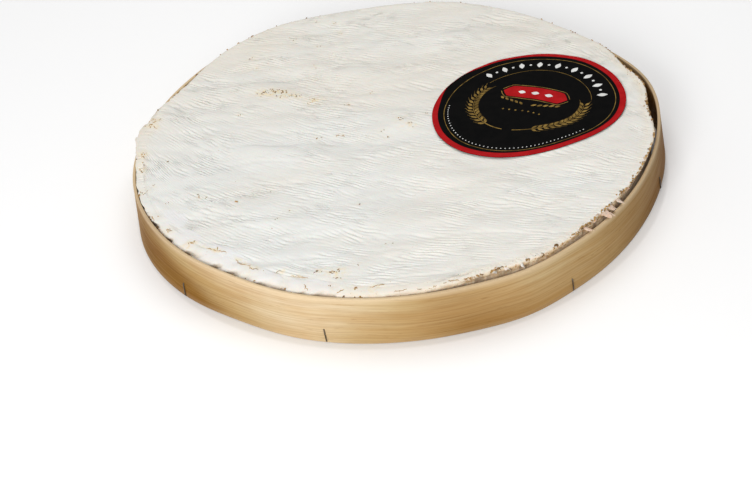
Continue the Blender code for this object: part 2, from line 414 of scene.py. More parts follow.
def rough(x, y, size, seed=0, layers=3):
    """Mottle in a few sizes, each half as large as the last."""
    total = 0.0
    for layer in range(layers):
        total = total + mottle(x, y, size / 2.0 ** layer, seed + 5 * layer) / 2.0 ** layer
    return total


def ring_mottle(angle, other, size, seed=0):
    """Unevenness round the wheel without a seam, over an angle in degrees and another measure."""
    turn = np.radians(angle)
    first = mottle(0.5 + 0.182 * np.cos(turn) + other, 0.5 + 0.182 * np.sin(turn), size, seed)
    second = mottle(0.5 + 0.182 * np.sin(turn) - other, 0.5 + 0.182 * np.cos(turn), size, seed + 3)
    return 0.7 * (first + second)


# Meshes


def put_piece(name, points, faces, material, replaced, sharp, masks):
    """A mesh object from places about the hoop's circle, riding on the one body."""
    mesh = bpy.data.meshes.new(name)
    places = np.asarray(points, float) - np.array(MIDDLE)
    mesh.from_pydata(places.tolist(), [], [list(face) for face in faces])
    if mesh.validate():
        raise RuntimeError("the mesh of %s has bad faces" % name)
    mesh.shade_smooth()
    mesh.set_sharp_from_angle(angle=math.radians(sharp))
    for mask, values in masks.items():
        layer = mesh.attributes.new(mask, "FLOAT", "POINT")
        layer.data.foreach_set("value", np.asarray(values, np.float32))
    mesh.materials.append(material)
    piece = bpy.data.objects.new(name, mesh)
    bpy.context.scene.collection.objects.link(piece)
    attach(piece, "root")
    if replaced:
        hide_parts(*replaced)
    return piece


def grid_faces(rows, columns, flip=False):
    """Quads of a grid of points laid row by row."""
    i, j = np.meshgrid(np.arange(rows - 1), np.arange(columns - 1), indexing="ij")
    first = (i * columns + j).ravel()
    quads = np.stack([first, first + columns, first + columns + 1, first + 1], 1)
    return quads[:, ::-1] if flip else quads


def sheet_faces(rows, columns):
    """Faces of a closed sheet of two grids of points, one after the other."""
    count = rows * columns
    faces = [tuple(int(corner) for corner in face) for face in grid_faces(rows, columns)]
    faces += [tuple(corner + count for corner in face[::-1]) for face in faces]
    ring = [int(corner) for corner in grid_rim(rows, columns)]
    for here, there in zip(ring, ring[1:] + ring[:1]):
        faces.append((here, here + count, there + count, there))
    return faces


def outward(points, faces):
    """Faces turned so that they look out of the form that they close."""
    return [face[::-1] for face in faces] if signed_volume(points, faces) < 0.0 else faces


def signed_volume(points, faces):
    """Volume inside faces, negative if they look inward."""
    total = 0.0
    middle = points.mean(axis=0)
    for face in faces:
        first = points[face[0]] - middle
        for second, third in zip(face[1:], face[2:]):
            total += np.dot(first, np.cross(points[second] - middle, points[third] - middle))
    return total


def grid_rim(rows, columns):
    """Points of a grid's border in order, first along its rows."""
    one = np.arange(rows) * columns
    two = (rows - 1) * columns + np.arange(1, columns)
    three = np.arange(rows - 2, -1, -1) * columns + columns - 1
    four = np.arange(columns - 2, 0, -1)
    return np.concatenate([one, two, three, four])


def disc_grid(rows, columns):
    """A square grid's points spread over a round disc of radius 1."""
    u, v = np.meshgrid(np.linspace(-1, 1, rows), np.linspace(-1, 1, columns), indexing="ij")
    return (u * np.sqrt(1.0 - 0.5 * v * v)).ravel(), (v * np.sqrt(1.0 - 0.5 * u * u)).ravel()


class Bits:
    """Gathers many small closed forms into one mesh."""

    def __init__(self):
        self.points = []
        self.faces = []
        self.tones = []
        self.count = 0

    def add(self, points, faces, tone=0.0):
        """Take one closed form."""
        self.points.append(np.asarray(points, float))
        self.faces.extend([[corner + self.count for corner in face] for face in faces])
        self.tones.append(np.full(len(points), tone))
        self.count += len(points)

    def put(self, name, material, replaced=()):
        """Turn what was gathered into a piece."""
        masks = {"tone": np.concatenate(self.tones)}
        return put_piece(name, np.concatenate(self.points), self.faces, material, replaced, 60.0, masks)


def tube_faces(rings, sides):
    """Faces of a closed tube of rings with a flat fan at each end."""
    faces = []
    for ring in range(rings - 1):
        for side in range(sides):
            after = (side + 1) % sides
            low = ring * sides
            high = low + sides
            faces.append((low + side, low + after, high + after, high + side))
    faces.append(tuple(range(sides - 1, -1, -1)))
    faces.append(tuple(range((rings - 1) * sides, rings * sides)))
    return faces


def tangents(path):
    """Unit directions along a path."""
    steps = np.gradient(path, axis=0)
    return steps / (np.linalg.norm(steps, axis=1)[:, None] + 1e-12)


def frame_along(path):
    """Side and upward directions along a path that is nowhere upright."""
    along = tangents(path)
    side = np.cross(along, (0.0, 0.0, 1.0))
    side /= np.linalg.norm(side, axis=1)[:, None] + 1e-12
    return side, np.cross(side, along)


# Materials


def node(tree, kind, settings=None, **inputs):
    """A shader node with its settings, and its inputs as values or as links from other nodes."""
    new = tree.nodes.new(kind)
    for name, value in (settings or {}).items():
        setattr(new, name, value)
    for name, value in inputs.items():
        join(tree, value, new.inputs[name.replace("_", " ")])
    return new


def join(tree, value, socket):
    """Link a socket to an input, or set the input's value."""
    if isinstance(value, bpy.types.NodeSocket):
        tree.links.new(value, socket)
    else:
        socket.default_value = value


def maths(tree, operation, first, second):
    """Result of a sum on two values."""
    new = node(tree, "ShaderNodeMath", {"operation": operation})
    join(tree, first, new.inputs[0])
    join(tree, second, new.inputs[1])
    return new.outputs[0]


def remap(tree, value, low, high, to_low=0.0, to_high=1.0):
    """A value's range turned into another, held at both ends."""
    new = node(tree, "ShaderNodeMapRange", {"clamp": True, "interpolation_type": "SMOOTHSTEP"})
    for place, entry in enumerate((value, low, high, to_low, to_high)):
        join(tree, entry, new.inputs[place])
    return new.outputs[0]


def mix(tree, factor, first, second, how="MIX"):
    """Two colours mixed by a factor."""
    new = node(tree, "ShaderNodeMix", {"data_type": "RGBA", "blend_type": how, "clamp_factor": True})
    join(tree, factor, new.inputs[0])
    join(tree, first, new.inputs[6])
    join(tree, second, new.inputs[7])
    return new.outputs[2]


def paint(colour):
    """A colour with its alpha."""
    return (colour[0], colour[1], colour[2], 1.0)


def tint(tree, base, mask, weight, colour):
    """A colour laid over another by a mask and a weight."""
    return mix(tree, maths(tree, "MULTIPLY", mask, weight), base, paint(colour))


def mask_of(tree, name):
    """A named mask of the mesh."""
    return node(tree, "ShaderNodeAttribute", {"attribute_name": name}).outputs["Fac"]


def object_place(tree):
    """The object's own coordinates."""
    return node(tree, "ShaderNodeTexCoord").outputs["Object"]


def noise(tree, place, scale, detail, roughness=0.5):
    """A noise texture's value."""
    new = node(tree, "ShaderNodeTexNoise", Vector=place, Scale=scale, Detail=detail, Roughness=roughness)
    return new.outputs["Fac"]


def new_group(name, inputs, outputs):
    """An empty node group with named sockets."""
    group = bpy.data.node_groups.new(name, "ShaderNodeTree")
    for label, kind, value in inputs:
        socket = group.interface.new_socket(label, in_out="INPUT", socket_type=kind)
        socket.default_value = value
    for label, kind in outputs:
        group.interface.new_socket(label, in_out="OUTPUT", socket_type=kind)
    return group, group.nodes.new("NodeGroupInput"), group.nodes.new("NodeGroupOutput")


def fine_grain_group():
    """Powdery grain: an even speckle for colour, and a height for bump."""
    if "Fine Grain" in bpy.data.node_groups:
        return bpy.data.node_groups["Fine Grain"]
    group, start, end = new_group(
        "Fine Grain",
        (("Grains per Metre", "NodeSocketFloat", 900.0), ("Softness", "NodeSocketFloat", 0.5)),
        (("Mask", "NodeSocketFloat"), ("Height", "NodeSocketFloat")),
    )
    place = object_place(group)
    fine = noise(group, place, start.outputs[0], 4.0)
    wide = noise(group, place, maths(group, "MULTIPLY", start.outputs[0], 0.27), 2.0)
    soft = mix(group, start.outputs[1], fine, wide)
    group.links.new(remap(group, soft, 0.32, 0.68), end.inputs[0])
    group.links.new(soft, end.inputs[1])
    return group


def blotches_group():
    """Soft cloudy change between two colours."""
    if "Blotches" in bpy.data.node_groups:
        return bpy.data.node_groups["Blotches"]
    group, start, end = new_group(
        "Blotches",
        (
            ("Blotches per Metre", "NodeSocketFloat", 20.0),
            ("Stretch", "NodeSocketVector", (1.0, 1.0, 1.0)),
            ("First Colour", "NodeSocketColor", (0.8, 0.8, 0.8, 1.0)),
            ("Second Colour", "NodeSocketColor", (0.6, 0.6, 0.6, 1.0)),
        ),
        (("Colour", "NodeSocketColor"), ("Mask", "NodeSocketFloat")),
    )
    stretched = node(group, "ShaderNodeVectorMath", {"operation": "MULTIPLY"})
    group.links.new(object_place(group), stretched.inputs[0])
    group.links.new(start.outputs[1], stretched.inputs[1])
    cloud = noise(group, stretched.outputs[0], start.outputs[0], 3.0, 0.55)
    mask = remap(group, cloud, 0.35, 0.65)
    group.links.new(mix(group, mask, start.outputs[2], start.outputs[3]), end.inputs[0])
    group.links.new(mask, end.inputs[1])
    return group


def blotches(tree, scale, first, second, stretch=(1.0, 1.0, 1.0)):
    """Colour and mask of the blotches group with its own values."""
    new = node(tree, "ShaderNodeGroup", {"node_tree": blotches_group()})
    for place, value in enumerate((scale, stretch, first, second)):
        join(tree, value, new.inputs[place])
    return new.outputs[0], new.outputs[1]


def dapple(tree, base, scale, colour, factor=1.0, stretch=(1.0, 1.0, 1.0)):
    """A colour darkened in soft blotches by another."""
    patches, _ = blotches(tree, scale, paint(WHITE), paint(colour), stretch)
    return mix(tree, factor, base, patches, "MULTIPLY")


def fine_grain(tree, scale):
    """Mask and height of the grain group at its own scale."""
    new = node(tree, "ShaderNodeGroup", {"node_tree": fine_grain_group()})
    new.inputs[0].default_value = scale
    return new.outputs[0], new.outputs[1]


def new_material(name, **values):
    """A material with constant values set on the shader's own sockets."""
    material = bpy.data.materials.new(name)
    material.use_nodes = True
    shader = material.node_tree.nodes["Principled BSDF"]
    for label, value in values.items():
        shader.inputs[label.replace("_", " ")].default_value = value
    return material, material.node_tree, shader


def finish(tree, shader, colour, roughness):
    """Feed a colour and a roughness to the shader."""
    tree.links.new(colour, shader.inputs["Base Color"])
    tree.links.new(roughness, shader.inputs["Roughness"])


def bump(tree, shader, height, distance, strength):
    """Feed a height to the shader's normal."""
    new = node(tree, "ShaderNodeBump", Height=height, Distance=distance, Strength=strength)
    tree.links.new(new.outputs["Normal"], shader.inputs["Normal"])


def rind_material(look):
    """White mould rind: cool and warm whites, soft ridges, and an ochre crumbly edge."""
    material, tree, shader = new_material(
        "bloomy rind",
        Subsurface_Weight=0.06,
        Subsurface_Scale=0.004,
        Specular_IOR_Level=0.25,
        Sheen_Weight=0.12,
    )
    place = object_place(tree)
    base, _ = blotches(tree, 11.0, paint(look.white_colour), paint(look.cream_colour), (0.7, 1.6, 1.0))
    base = dapple(tree, base, 60.0, (0.955, 0.955, 0.95), 1.0, (0.6, 1.5, 1.0))
    mask, height = fine_grain(tree, 1300.0)
    base = tint(tree, base, mask, 0.10, look.shade_colour)
    # Painted shade: the valley mask darkens the ridge valleys and creases with the shade colour, on top of
    # their real relief.
    base = tint(tree, base, mask_of(tree, "valley"), 0.34, look.shade_colour)
    base = tint(tree, base, mask_of(tree, "bare"), 0.40, look.bare_colour)
    parts = node(tree, "ShaderNodeSeparateXYZ", Vector=place)
    back = remap(tree, parts.outputs["Y"], -0.06, 0.17, 0.0, 0.75)
    base = mix(tree, back, base, paint(look.back_colour), "MULTIPLY")
    tinge, _ = blotches(tree, 380.0, base, paint(look.stain_colour))
    base = mix(tree, mask_of(tree, "stain"), base, tinge)
    rim = mask_of(tree, "rim")
    base = tint(tree, base, rim, 0.55, look.edge_colour)
    side, _ = blotches(tree, 260.0, paint(look.side_colour), paint(look.side_shade_colour), (1.0, 1.0, 2.0))
    base = mix(tree, mask_of(tree, "side"), base, side)
    flecks = maths(tree, "ADD", noise(tree, place, 620.0, 3.0, 0.6), maths(tree, "MULTIPLY", rim, 0.135))
    base = mix(tree, remap(tree, flecks, 0.71, 0.77), base, paint(look.ochre_colour))
    finish(tree, shader, base, remap(tree, height, 0.3, 0.7, 0.72, 0.88))
    bump(tree, shader, height, 0.00028, 0.8)
    return material


def crust_material(name, look):
    """Dry curls of rind: pale, ochre or dark brown by their tone."""
    material, tree, shader = new_material(name, Specular_IOR_Level=0.3)
    tone = mask_of(tree, "tone")
    colour = mix(tree, remap(tree, tone, 0.0, 0.5), paint(look.pale_colour), paint(look.ochre_colour))
    colour = mix(tree, remap(tree, tone, 0.5, 1.0), colour, paint(look.brown_colour))
    colour = dapple(tree, colour, 420.0, (0.72, 0.68, 0.62))
    mask, height = fine_grain(tree, 1500.0)
    finish(tree, shader, colour, remap(tree, mask, 0.0, 1.0, 0.62, 0.85))
    bump(tree, shader, height, 0.0003, 0.9)
    return material


def rag_material(look, rind_look):
    """Torn rind: white where it is whole, cream to pinkish brown where it is bare."""
    material, tree, shader = new_material("torn rind", Subsurface_Weight=0.05, Subsurface_Scale=0.003)
    tone = remap(tree, mask_of(tree, "tone"), 0.0, 0.35)
    colour = mix(tree, tone, paint(rind_look.white_colour), paint(look.rag_colour))
    colour = dapple(tree, colour, 300.0, (0.90, 0.86, 0.80))
    mask, height = fine_grain(tree, 1300.0)
    finish(tree, shader, colour, remap(tree, mask, 0.0, 1.0, 0.72, 0.88))
    bump(tree, shader, height, 0.00028, 0.8)
    return material


def ink_material(name, colour, second, roughness):
    """Printed ink: slightly uneven cover and a soft gloss."""
    material, tree, shader = new_material(name, Specular_IOR_Level=0.015)
    cover, mask = blotches(tree, 150.0, paint(colour), paint(second))
    grain, height = fine_grain(tree, 1800.0)
    cover = tint(tree, cover, grain, 0.25, second)
    finish(tree, shader, cover, remap(tree, mask, 0.0, 1.0, roughness, roughness + 0.14))
    bump(tree, shader, height, 0.00005, 0.5)
    return material


def hoop_material(look):
    """Thin bare poplar: fine grain along the strip, a loose figure, and painted shade towards the foot and
    round parts of the rim, partly the wood's own tone.
    """
    material, tree, shader = new_material("bare poplar", Specular_IOR_Level=0.05)
    place = object_place(tree)
    parts = node(tree, "ShaderNodeSeparateXYZ", Vector=place)
    sway = maths(tree, "SUBTRACT", noise(tree, place, 9.0, 2.0), 0.5)
    height = maths(tree, "ADD", parts.outputs["Z"], maths(tree, "MULTIPLY", sway, 0.011))

    def grain(across, lengthwise, detail, roughness=0.5):
        """Noise in coordinates that are squeezed along the strip."""
        wide = node(tree, "ShaderNodeCombineXYZ")
        squeezed = ((parts.outputs["X"], lengthwise), (parts.outputs["Y"], lengthwise), (height, across))
        for slot, (part, scale) in enumerate(squeezed):
            join(tree, maths(tree, "MULTIPLY", part, scale), wide.inputs[slot])
        return noise(tree, wide.outputs[0], 1.0, detail, roughness)

    fibres = grain(1100.0, 22.0, 3.0, 0.6)
    fibre = remap(tree, fibres, 0.38, 0.66)
    golden = paint(look.golden_colour)
    colour = mix(tree, remap(tree, grain(95.0, 4.0, 4.0, 0.6), 0.34, 0.70), paint(look.pale_colour), golden)
    colour = dapple(tree, colour, 16.0, look.swirl_colour, 0.6, (1.0, 1.0, 2.4))
    colour = tint(tree, colour, remap(tree, grain(420.0, 4.0, 2.0), 0.58, 0.70), 0.36, look.fibre_colour)
    # Painted shade: the wood turns more golden and darker towards the foot of the strip.
    colour = mix(tree, remap(tree, parts.outputs["Z"], 0.004, 0.030, 0.30, 0.0), colour, golden)
    colour = tint(tree, colour, fibre, 0.30, look.fibre_colour)
    colour = tint(tree, colour, remap(tree, grain(1600.0, 110.0, 1.0), 0.66, 0.76), 0.45, look.fibre_colour)
    # Painted shade from the tan mask: the wood is darkened towards its foot and round parts of the rim,
    # partly its own tone.
    tan = mask_of(tree, "tan")
    tone = mix(tree, remap(tree, tan, 0.0, 0.55), (0.93, 0.97, 1.0, 1.0), paint(look.shade_tan_colour))
    tone = mix(tree, remap(tree, tan, 0.45, 1.0), tone, paint(look.deep_shade_colour))
    colour = mix(tree, 1.0, colour, tone, "MULTIPLY")
    colour = tint(tree, colour, mask_of(tree, "edge"), 0.5, look.pale_colour)
    finish(tree, shader, colour, remap(tree, fibre, 0.0, 1.0, 0.50, 0.66))
    bump(tree, shader, fibres, 0.00016, 0.7)
    return material


def steel_material(look):
    """Thin staple wire, dull with a few darker patches."""
    material, tree, shader = new_material("staple steel", Metallic=1.0)
    colour, mask = blotches(tree, 300.0, paint(look.steel_colour), paint(look.tarnish_colour))
    finish(tree, shader, colour, remap(tree, mask, 0.0, 1.0, 0.28, 0.55))
    return material


# Settings


def length_of(name, description, default):
    """A length that a user would change."""
    return FloatProperty(
        name=name, description=description, default=default, min=0.0, unit="LENGTH", precision=5
    )


def power_of(name, description, default):
    """A light's power that a user would change."""
    return FloatProperty(name=name, description=description, default=default, unit="POWER")


def colour_of(name, description, default):
    """A colour that a user would change."""
    return FloatVectorProperty(
        name=name, description=description, default=default, min=0.0, max=1.0, size=3, subtype="COLOR"
    )


class RindSettings(bpy.types.PropertyGroup):
    """Sizes and colours of the white rind."""

    ridge_spacing: length_of("Ridge spacing", "Distance between the ridges left by the mat", 0.0025)
    ridge_depth: length_of("Ridge depth", "Depth of the valleys between the ridges", 0.00108)
    crease_depth: length_of("Crease depth", "Depth of the long shallow creases", 0.00052)
    crease_step: length_of("Crease step", "Change of height across a crease", 0.00060)
    swell: length_of("Swell", "Height of the soft broad unevenness of the top", 0.00062)
    crumble: length_of("Crumble", "Unevenness of the edge of the top", 0.00045)
    white_colour: colour_of("White", "Coolest white of the rind", (0.80, 0.80, 0.765))
    cream_colour: colour_of("Cream", "Warmest white of the rind", (0.80, 0.775, 0.715))
    # Painted shade laid into the ridge valleys and creases; it also tints the fine grain a little.
    shade_colour: colour_of("Shade", "Colour in the valleys", (0.60, 0.595, 0.56))
    bare_colour: colour_of("Bare", "Smooth patches without ridges", (0.83, 0.82, 0.85))
    back_colour: colour_of("Back", "Warm tint laid over the back half", (0.975, 0.945, 0.905))
    stain_colour: colour_of("Stain", "Yellow tinge round the marks", (0.80, 0.66, 0.40))
    edge_colour: colour_of("Edge", "Tint of the worn edge", (0.80, 0.66, 0.46))
    ochre_colour: colour_of("Ochre", "Flecks where the mould has worn off", (0.40, 0.22, 0.07))
    side_colour: colour_of("Side", "Paler tone of the side under the lip", (0.76, 0.60, 0.41))
    side_shade_colour: colour_of("Side shade", "Darker tone of the side", (0.51, 0.335, 0.165))


class CrustSettings(bpy.types.PropertyGroup):
    """Sizes, number and colours of the curls and rags of dry rind."""

    curl_length: length_of("Curl length", "Middle length of a curl", 0.0024)
    curl_radius: length_of("Curl thickness", "Half the thickness of a curl", 0.00026)
    rim_curls: IntProperty(name="Rim curls", description="Number of curls round the rim", default=620, min=0)
    pale_colour: colour_of("Pale", "Palest curls", (0.74, 0.60, 0.46))
    rag_colour: colour_of("Rag", "Bare torn tongues", (0.68, 0.49, 0.37))
    ochre_colour: colour_of("Ochre", "Most curls", (0.52, 0.31, 0.10))
    brown_colour: colour_of("Brown", "Darkest curls", (0.20, 0.105, 0.04))


class LabelSettings(bpy.types.PropertyGroup):
    """Sizes and colours of the paper label."""

    paper_thickness: length_of("Paper thickness", "Thickness of the label", 0.00022)
    paper_lift: length_of("Paper lift", "Height of the paper over the rind", 0.00018)
    wrinkle: length_of("Wrinkle", "Height of the label's soft waves", 0.00020)
    border_width: length_of("Border width", "Middle width of the printed border", 0.0040)
    border_shift: length_of("Border shift", "How far the print lies off the middle of the cut", 0.0015)
    face_colour: colour_of("Face", "Dark printed ground", (0.0026, 0.0027, 0.0027))
    red_colour: colour_of("Red", "Border and plaque", (0.44, 0.012, 0.014))
    gold_colour: colour_of("Gold", "Wreath and fine lines", (0.33, 0.21, 0.055))
    white_colour: colour_of("White", "Row of lozenges and dots", (0.80, 0.80, 0.78))


class HoopSettings(bpy.types.PropertyGroup):
    """Sizes and colours of the wooden hoop."""

    unevenness: length_of("Unevenness", "How far the cut edges wander", 0.00035)
    pale_colour: colour_of("Pale", "Palest wood", (0.77, 0.62, 0.42))
    golden_colour: colour_of("Golden", "Golden wood", (0.64, 0.44, 0.22))
    swirl_colour: colour_of("Swirl", "Pinkish figure laid over the wood", (0.88, 0.74, 0.62))
    fibre_colour: colour_of("Fibre", "Dark fibres and pores", (0.36, 0.20, 0.08))
    # Colours of the painted shade on the wood, partly its own tone.
    shade_tan_colour: colour_of("Tan", "Tone of the toned stretches", (0.67, 0.61, 0.45))
    deep_shade_colour: colour_of("Deep", "Tone of the most toned stretches", (0.35, 0.23, 0.075))


class StapleSettings(bpy.types.PropertyGroup):
    """Size and colours of the staples."""

    wire_radius: length_of("Wire radius", "Half the thickness of the wire", 0.00040)
    steel_colour: colour_of("Steel", "Clean wire", (0.15, 0.13, 0.11))
    tarnish_colour: colour_of("Tarnish", "Dull patches", (0.10, 0.08, 0.06))


class StageSettings(bpy.types.PropertyGroup):
    """Camera, floor and lights."""

    lens: FloatProperty(
        name="Lens", description="Focal length on a 36 mm sensor", default=75.0, unit="CAMERA"
    )
    key_power: power_of("Key", "Power of the soft front light", 17.6)
    top_power: power_of("Top", "Power of the wide light above", 11.4)
    fill_power: power_of("Fill", "Power of the light from the left", 1.0)
    surround: FloatProperty(
        name="Surround", description="Strength of the pale surround", default=0.34, min=0.0
    )
    floor_colour: colour_of("Floor", "Pale floor", (0.90, 0.90, 0.90))


# Rind


def crease_field(x, y):
    """A field that changes sign along long shallow lines, like those of a draped cloth."""
    lift = 0.005 * mottle(x, y, 0.05, 7)
    return mottle(x - 0.10 * y, (y + lift - 0.12 * x) * 4.0, 0.075, 6)


def ridge_pattern(x, y, spacing):
    """Fine ridges of the draining mat: a wave from 0 to 1, and how strong it is."""
    along, across = turned(x, y, RIDGE_DIRECTION)
    across = across + RIDGE_BOW * x * x
    sway = RIDGE_SHIFT * np.tanh(crease_field(x, y) / 0.12)
    for distance, size, seed in RIDGE_SWAYS:
        sway = sway + distance * mottle(along, across, size, seed)
    first = np.cos(math.tau * (across + sway) / spacing)
    tilted = across * math.cos(RIDGE_TILT) + along * math.sin(RIDGE_TILT)
    tilted = tilted + 0.8 * sway + 0.002 * mottle(along, across, 0.020, 18)
    second = np.cos(math.tau * tilted / (SECOND_SPACING * spacing))
    share = smooth(0.5 + 1.4 * mottle(along * 0.7, across, 0.026, 17))
    wave = 1.0 - (0.5 + 0.5 * (first * share + second * (1.0 - share))) ** 1.5
    patch = smooth(0.45 + 1.25 * rough(x * 0.75, y * 1.5, 0.034, 4))
    broken = smooth(0.50 + 1.5 * mottle(along, across * 1.6, 0.0095, 16))
    place = 1.0 + 0.42 * smooth(y / 0.12) + 0.24 * smooth(-x / 0.12)
    return wave, (0.16 + 0.84 * patch) * (0.22 + 0.78 * broken) * place


def crease_pattern(x, y):
    """Long shallow creases, 1 in the middle of a crease, and the step across each."""
    field = crease_field(x, y)
    held = smooth(0.45 + 1.3 * mottle(x, y, 0.045, 26))
    line = smooth(1.0 - np.abs(field) / 0.11) * held
    other = mottle(x + 0.25 * y + 0.3, (y - 0.20 * x) * 3.2, 0.042, 9)
    thin = smooth(1.0 - np.abs(other) / 0.075) * smooth(0.1 + 1.5 * mottle(x, y, 0.038, 27))
    step = 0.5 + 0.5 * np.tanh(field / 0.22) * held
    return np.clip(0.8 * line + 0.6 * thin, 0.0, 1.0), step


# Patches where the mat left no ridges: a place, a half-length, a half-width and a direction in degrees
BARE_PATCHES = (
    (-0.117, -0.117, 0.021, 0.0060, -44.0),
    (-0.141, -0.092, 0.014, 0.0055, -52.0),
    (-0.092, -0.143, 0.013, 0.0045, -30.0),
    (-0.152, -0.070, 0.012, 0.0070, -60.0),
    (-0.063, -0.158, 0.014, 0.0040, -20.0),
)


def bare_mask(x, y):
    """How smooth and bare the rind is at a place."""
    total = 0.0
    for patch_x, patch_y, length, width, degrees in BARE_PATCHES:
        along, across = turned(x - patch_x, y - patch_y, degrees)
        away = np.hypot(along / length, across / width) + 0.25 * mottle(x, y, 0.006, 21)
        total = total + smooth((1.05 - away) / 0.22)
    return np.clip(total, 0.0, 1.0)


def stain_mask(x, y):
    """Yellow tinge round the marks and lines, at places in metres."""
    total = 0.0
    for mark_x, mark_y, spread_x, spread_y, number, *_ in MARKS:
        away = np.hypot((x * 1000.0 - mark_x) / (spread_x + 2.0), (y * 1000.0 - mark_y) / (spread_y + 1.6))
        total = total + min(0.5, 0.10 * number) * np.exp(-away * away)
    for start_x, start_y, direction, length, _ in LINES:
        along, across = turned(x * 1000.0 - start_x, y * 1000.0 - start_y, direction)
        away = np.hypot((along - 0.5 * length) / (0.5 * length + 1.0), across / 1.9)
        total = total + 0.7 * np.exp(-away * away)
    return np.clip(total, 0.0, 0.75)


def rim_tint(angle):
    """How worn the edge is round the wheel."""
    return np.clip(0.08 + bells(angle, WORN_EDGE), 0.0, 1.0)


def side_tint(angle):
    """How bare the side is under the lip."""
    return np.clip(0.25 + bells(angle, BARE_SIDE), 0.0, 1.0)


def lumps(angle):
    """How torn and lumpy the shoulder is."""
    return bells(angle, TORN_SHOULDER)


def bites(angle, level):
    """Where pieces are torn out of the shoulder."""
    return lumps(angle) * smooth((ring_mottle(angle, level, 0.010, 33) - 0.02) / 0.30)


def rind_top(x, y, look):
    """Height, ridge valley and bareness of the rind at places on the top, and their share of the way out."""
    angle = angle_at(x, y)
    share = np.minimum(np.hypot(x, y) / (cheese_edge(angle) - shoulder(angle)[0]), 1.0)
    wave, strength = ridge_pattern(x, y, look.ridge_spacing)
    bare = bare_mask(x, y)
    under = smooth((label_away(x, y) - 0.93) / 0.06)
    calm = 0.15 + 0.85 * under
    strength = strength * (1.0 - 0.9 * bare) * calm * (1.0 - 0.5 * smooth((share - 0.97) / 0.03))
    crease, step = crease_pattern(x, y)
    crease = crease * (0.2 + 0.8 * under)
    near = smooth((share - 0.955) / 0.045)
    down = look.ridge_depth * strength * (1.0 - wave) + look.crease_depth * crease
    down = down + look.crease_step * step * calm * (1.0 - smooth((share - 0.9) / 0.1))
    broad = smooth(0.5 + 0.8 * rough(x * 0.6, y * 1.5, 0.026, 41, 2))
    down = down + look.swell * broad * calm * (1.0 - near)
    down = down + look.crumble * near * np.abs(rough(x, y, 0.0042, 12))
    pits = smooth(0.35 + 1.3 * mottle(x, y, 0.011, 14))
    down = down + 0.0016 * near * lumps(angle) * pits * (1.0 - 0.7 * bare)
    # The valley mask carries painted shade for the ridge valleys and creases into the rind's colour.
    valley = np.clip(strength * (1.0 - wave) * 0.75 + 0.55 * crease, 0.0, 1.0)
    return top_height(x, y) - down, valley, bare, share


def lip(angle):
    """How crisp the lip is: 0 for a round shoulder, 1 for a nearly square one."""
    return bell(angle, *CRISP_LIP)


def rind_rings(angle, top, look):
    """Rings from the top's border down to the underside, each a radius, a height and two masks."""
    edge = cheese_edge(angle)
    over = spread(angle)
    width, drop = shoulder(angle)
    level = edge_height(angle)
    sag = top - level
    sharp = lip(angle)
    touch = filling(angle)
    rings = []
    for number, degrees in enumerate(SHOULDER_STEPS):
        turn = math.radians(degrees)
        depth = number / (len(SHOULDER_STEPS) - 1.0)
        ragged = look.crumble * (0.4 + 0.6 * depth) * ring_mottle(angle, 0.0016 * number, 0.0046, 30)
        notches = smooth(0.2 + ring_mottle(angle, 0.0004 * number, 0.0085, 44))
        ragged = ragged - 1.6 * look.crumble * sharp * depth * notches
        bite = bites(angle, 0.0018 * number)
        close = np.maximum(0.0005 * np.minimum(lumps(angle), 1.0) * (1.0 - bite), touch)
        radius = edge - width + (width + over + close) * math.sin(turn) ** (1.0 - LIP_REACH * sharp)
        radius = radius + np.minimum(ragged, 0.00018) - BITE_DEPTH * bite * depth
        fall = raised_drop(angle) * (1.0 - math.cos(turn)) ** (1.0 + LIP_FALL * sharp)
        height = level + sag * (1.0 - depth) ** 2 - fall - BITE_FALL * bite * depth
        crumbs = np.abs(ring_mottle(angle, 0.0011 * number + 0.3, 0.0038, 36))
        height = height - 0.5 * look.crumble * crumbs * depth
        crisp = smooth((depth - 0.60) / 0.32) * sharp + depth ** 1.5 * (1.0 - sharp)
        worn = 1.0 - sharp + sharp * smooth((depth - 0.25) / 0.5)
        rings.append((radius, height, worn, np.clip(crisp + 0.9 * bite * depth, 0.0, 1.0)))
    foot = level - drop - 0.4 * OVERHANG_CLEAR
    notch = bites(angle, 0.0090)
    rings.append((edge - 0.0003 - BITE_DEPTH * notch, foot - BITE_FALL * notch, 0.8, 1.0))
    for share, hollow in ((0.84, 0.25), (0.68, 0.6), (0.40, 1.0)):
        wave = 0.0003 * ring_mottle(angle, 0.02 * share, 0.014, 40)
        level = np.minimum(share * HOOP_HEIGHT, foot - 0.001)
        rings.append((edge - hollow * SIDE_HOLLOW - np.abs(wave), level, 0.3, 0.3 + 0.7 * share))
    rings.append((edge - 0.5 * SIDE_HOLLOW, FOOT_ROUND + 0.0 * angle, 0.2, 0.3))
    rings.append((edge - 0.30 * FOOT_ROUND, 0.28 * FOOT_ROUND + 0.0 * angle, 0.2, 0.15))
    rings.append((edge - FOOT_ROUND, 0.0 * angle, 0.1, 0.0))
    rings.append((0.55 * (edge - FOOT_ROUND), 0.0 * angle, 0.0, 0.0))
    return rings


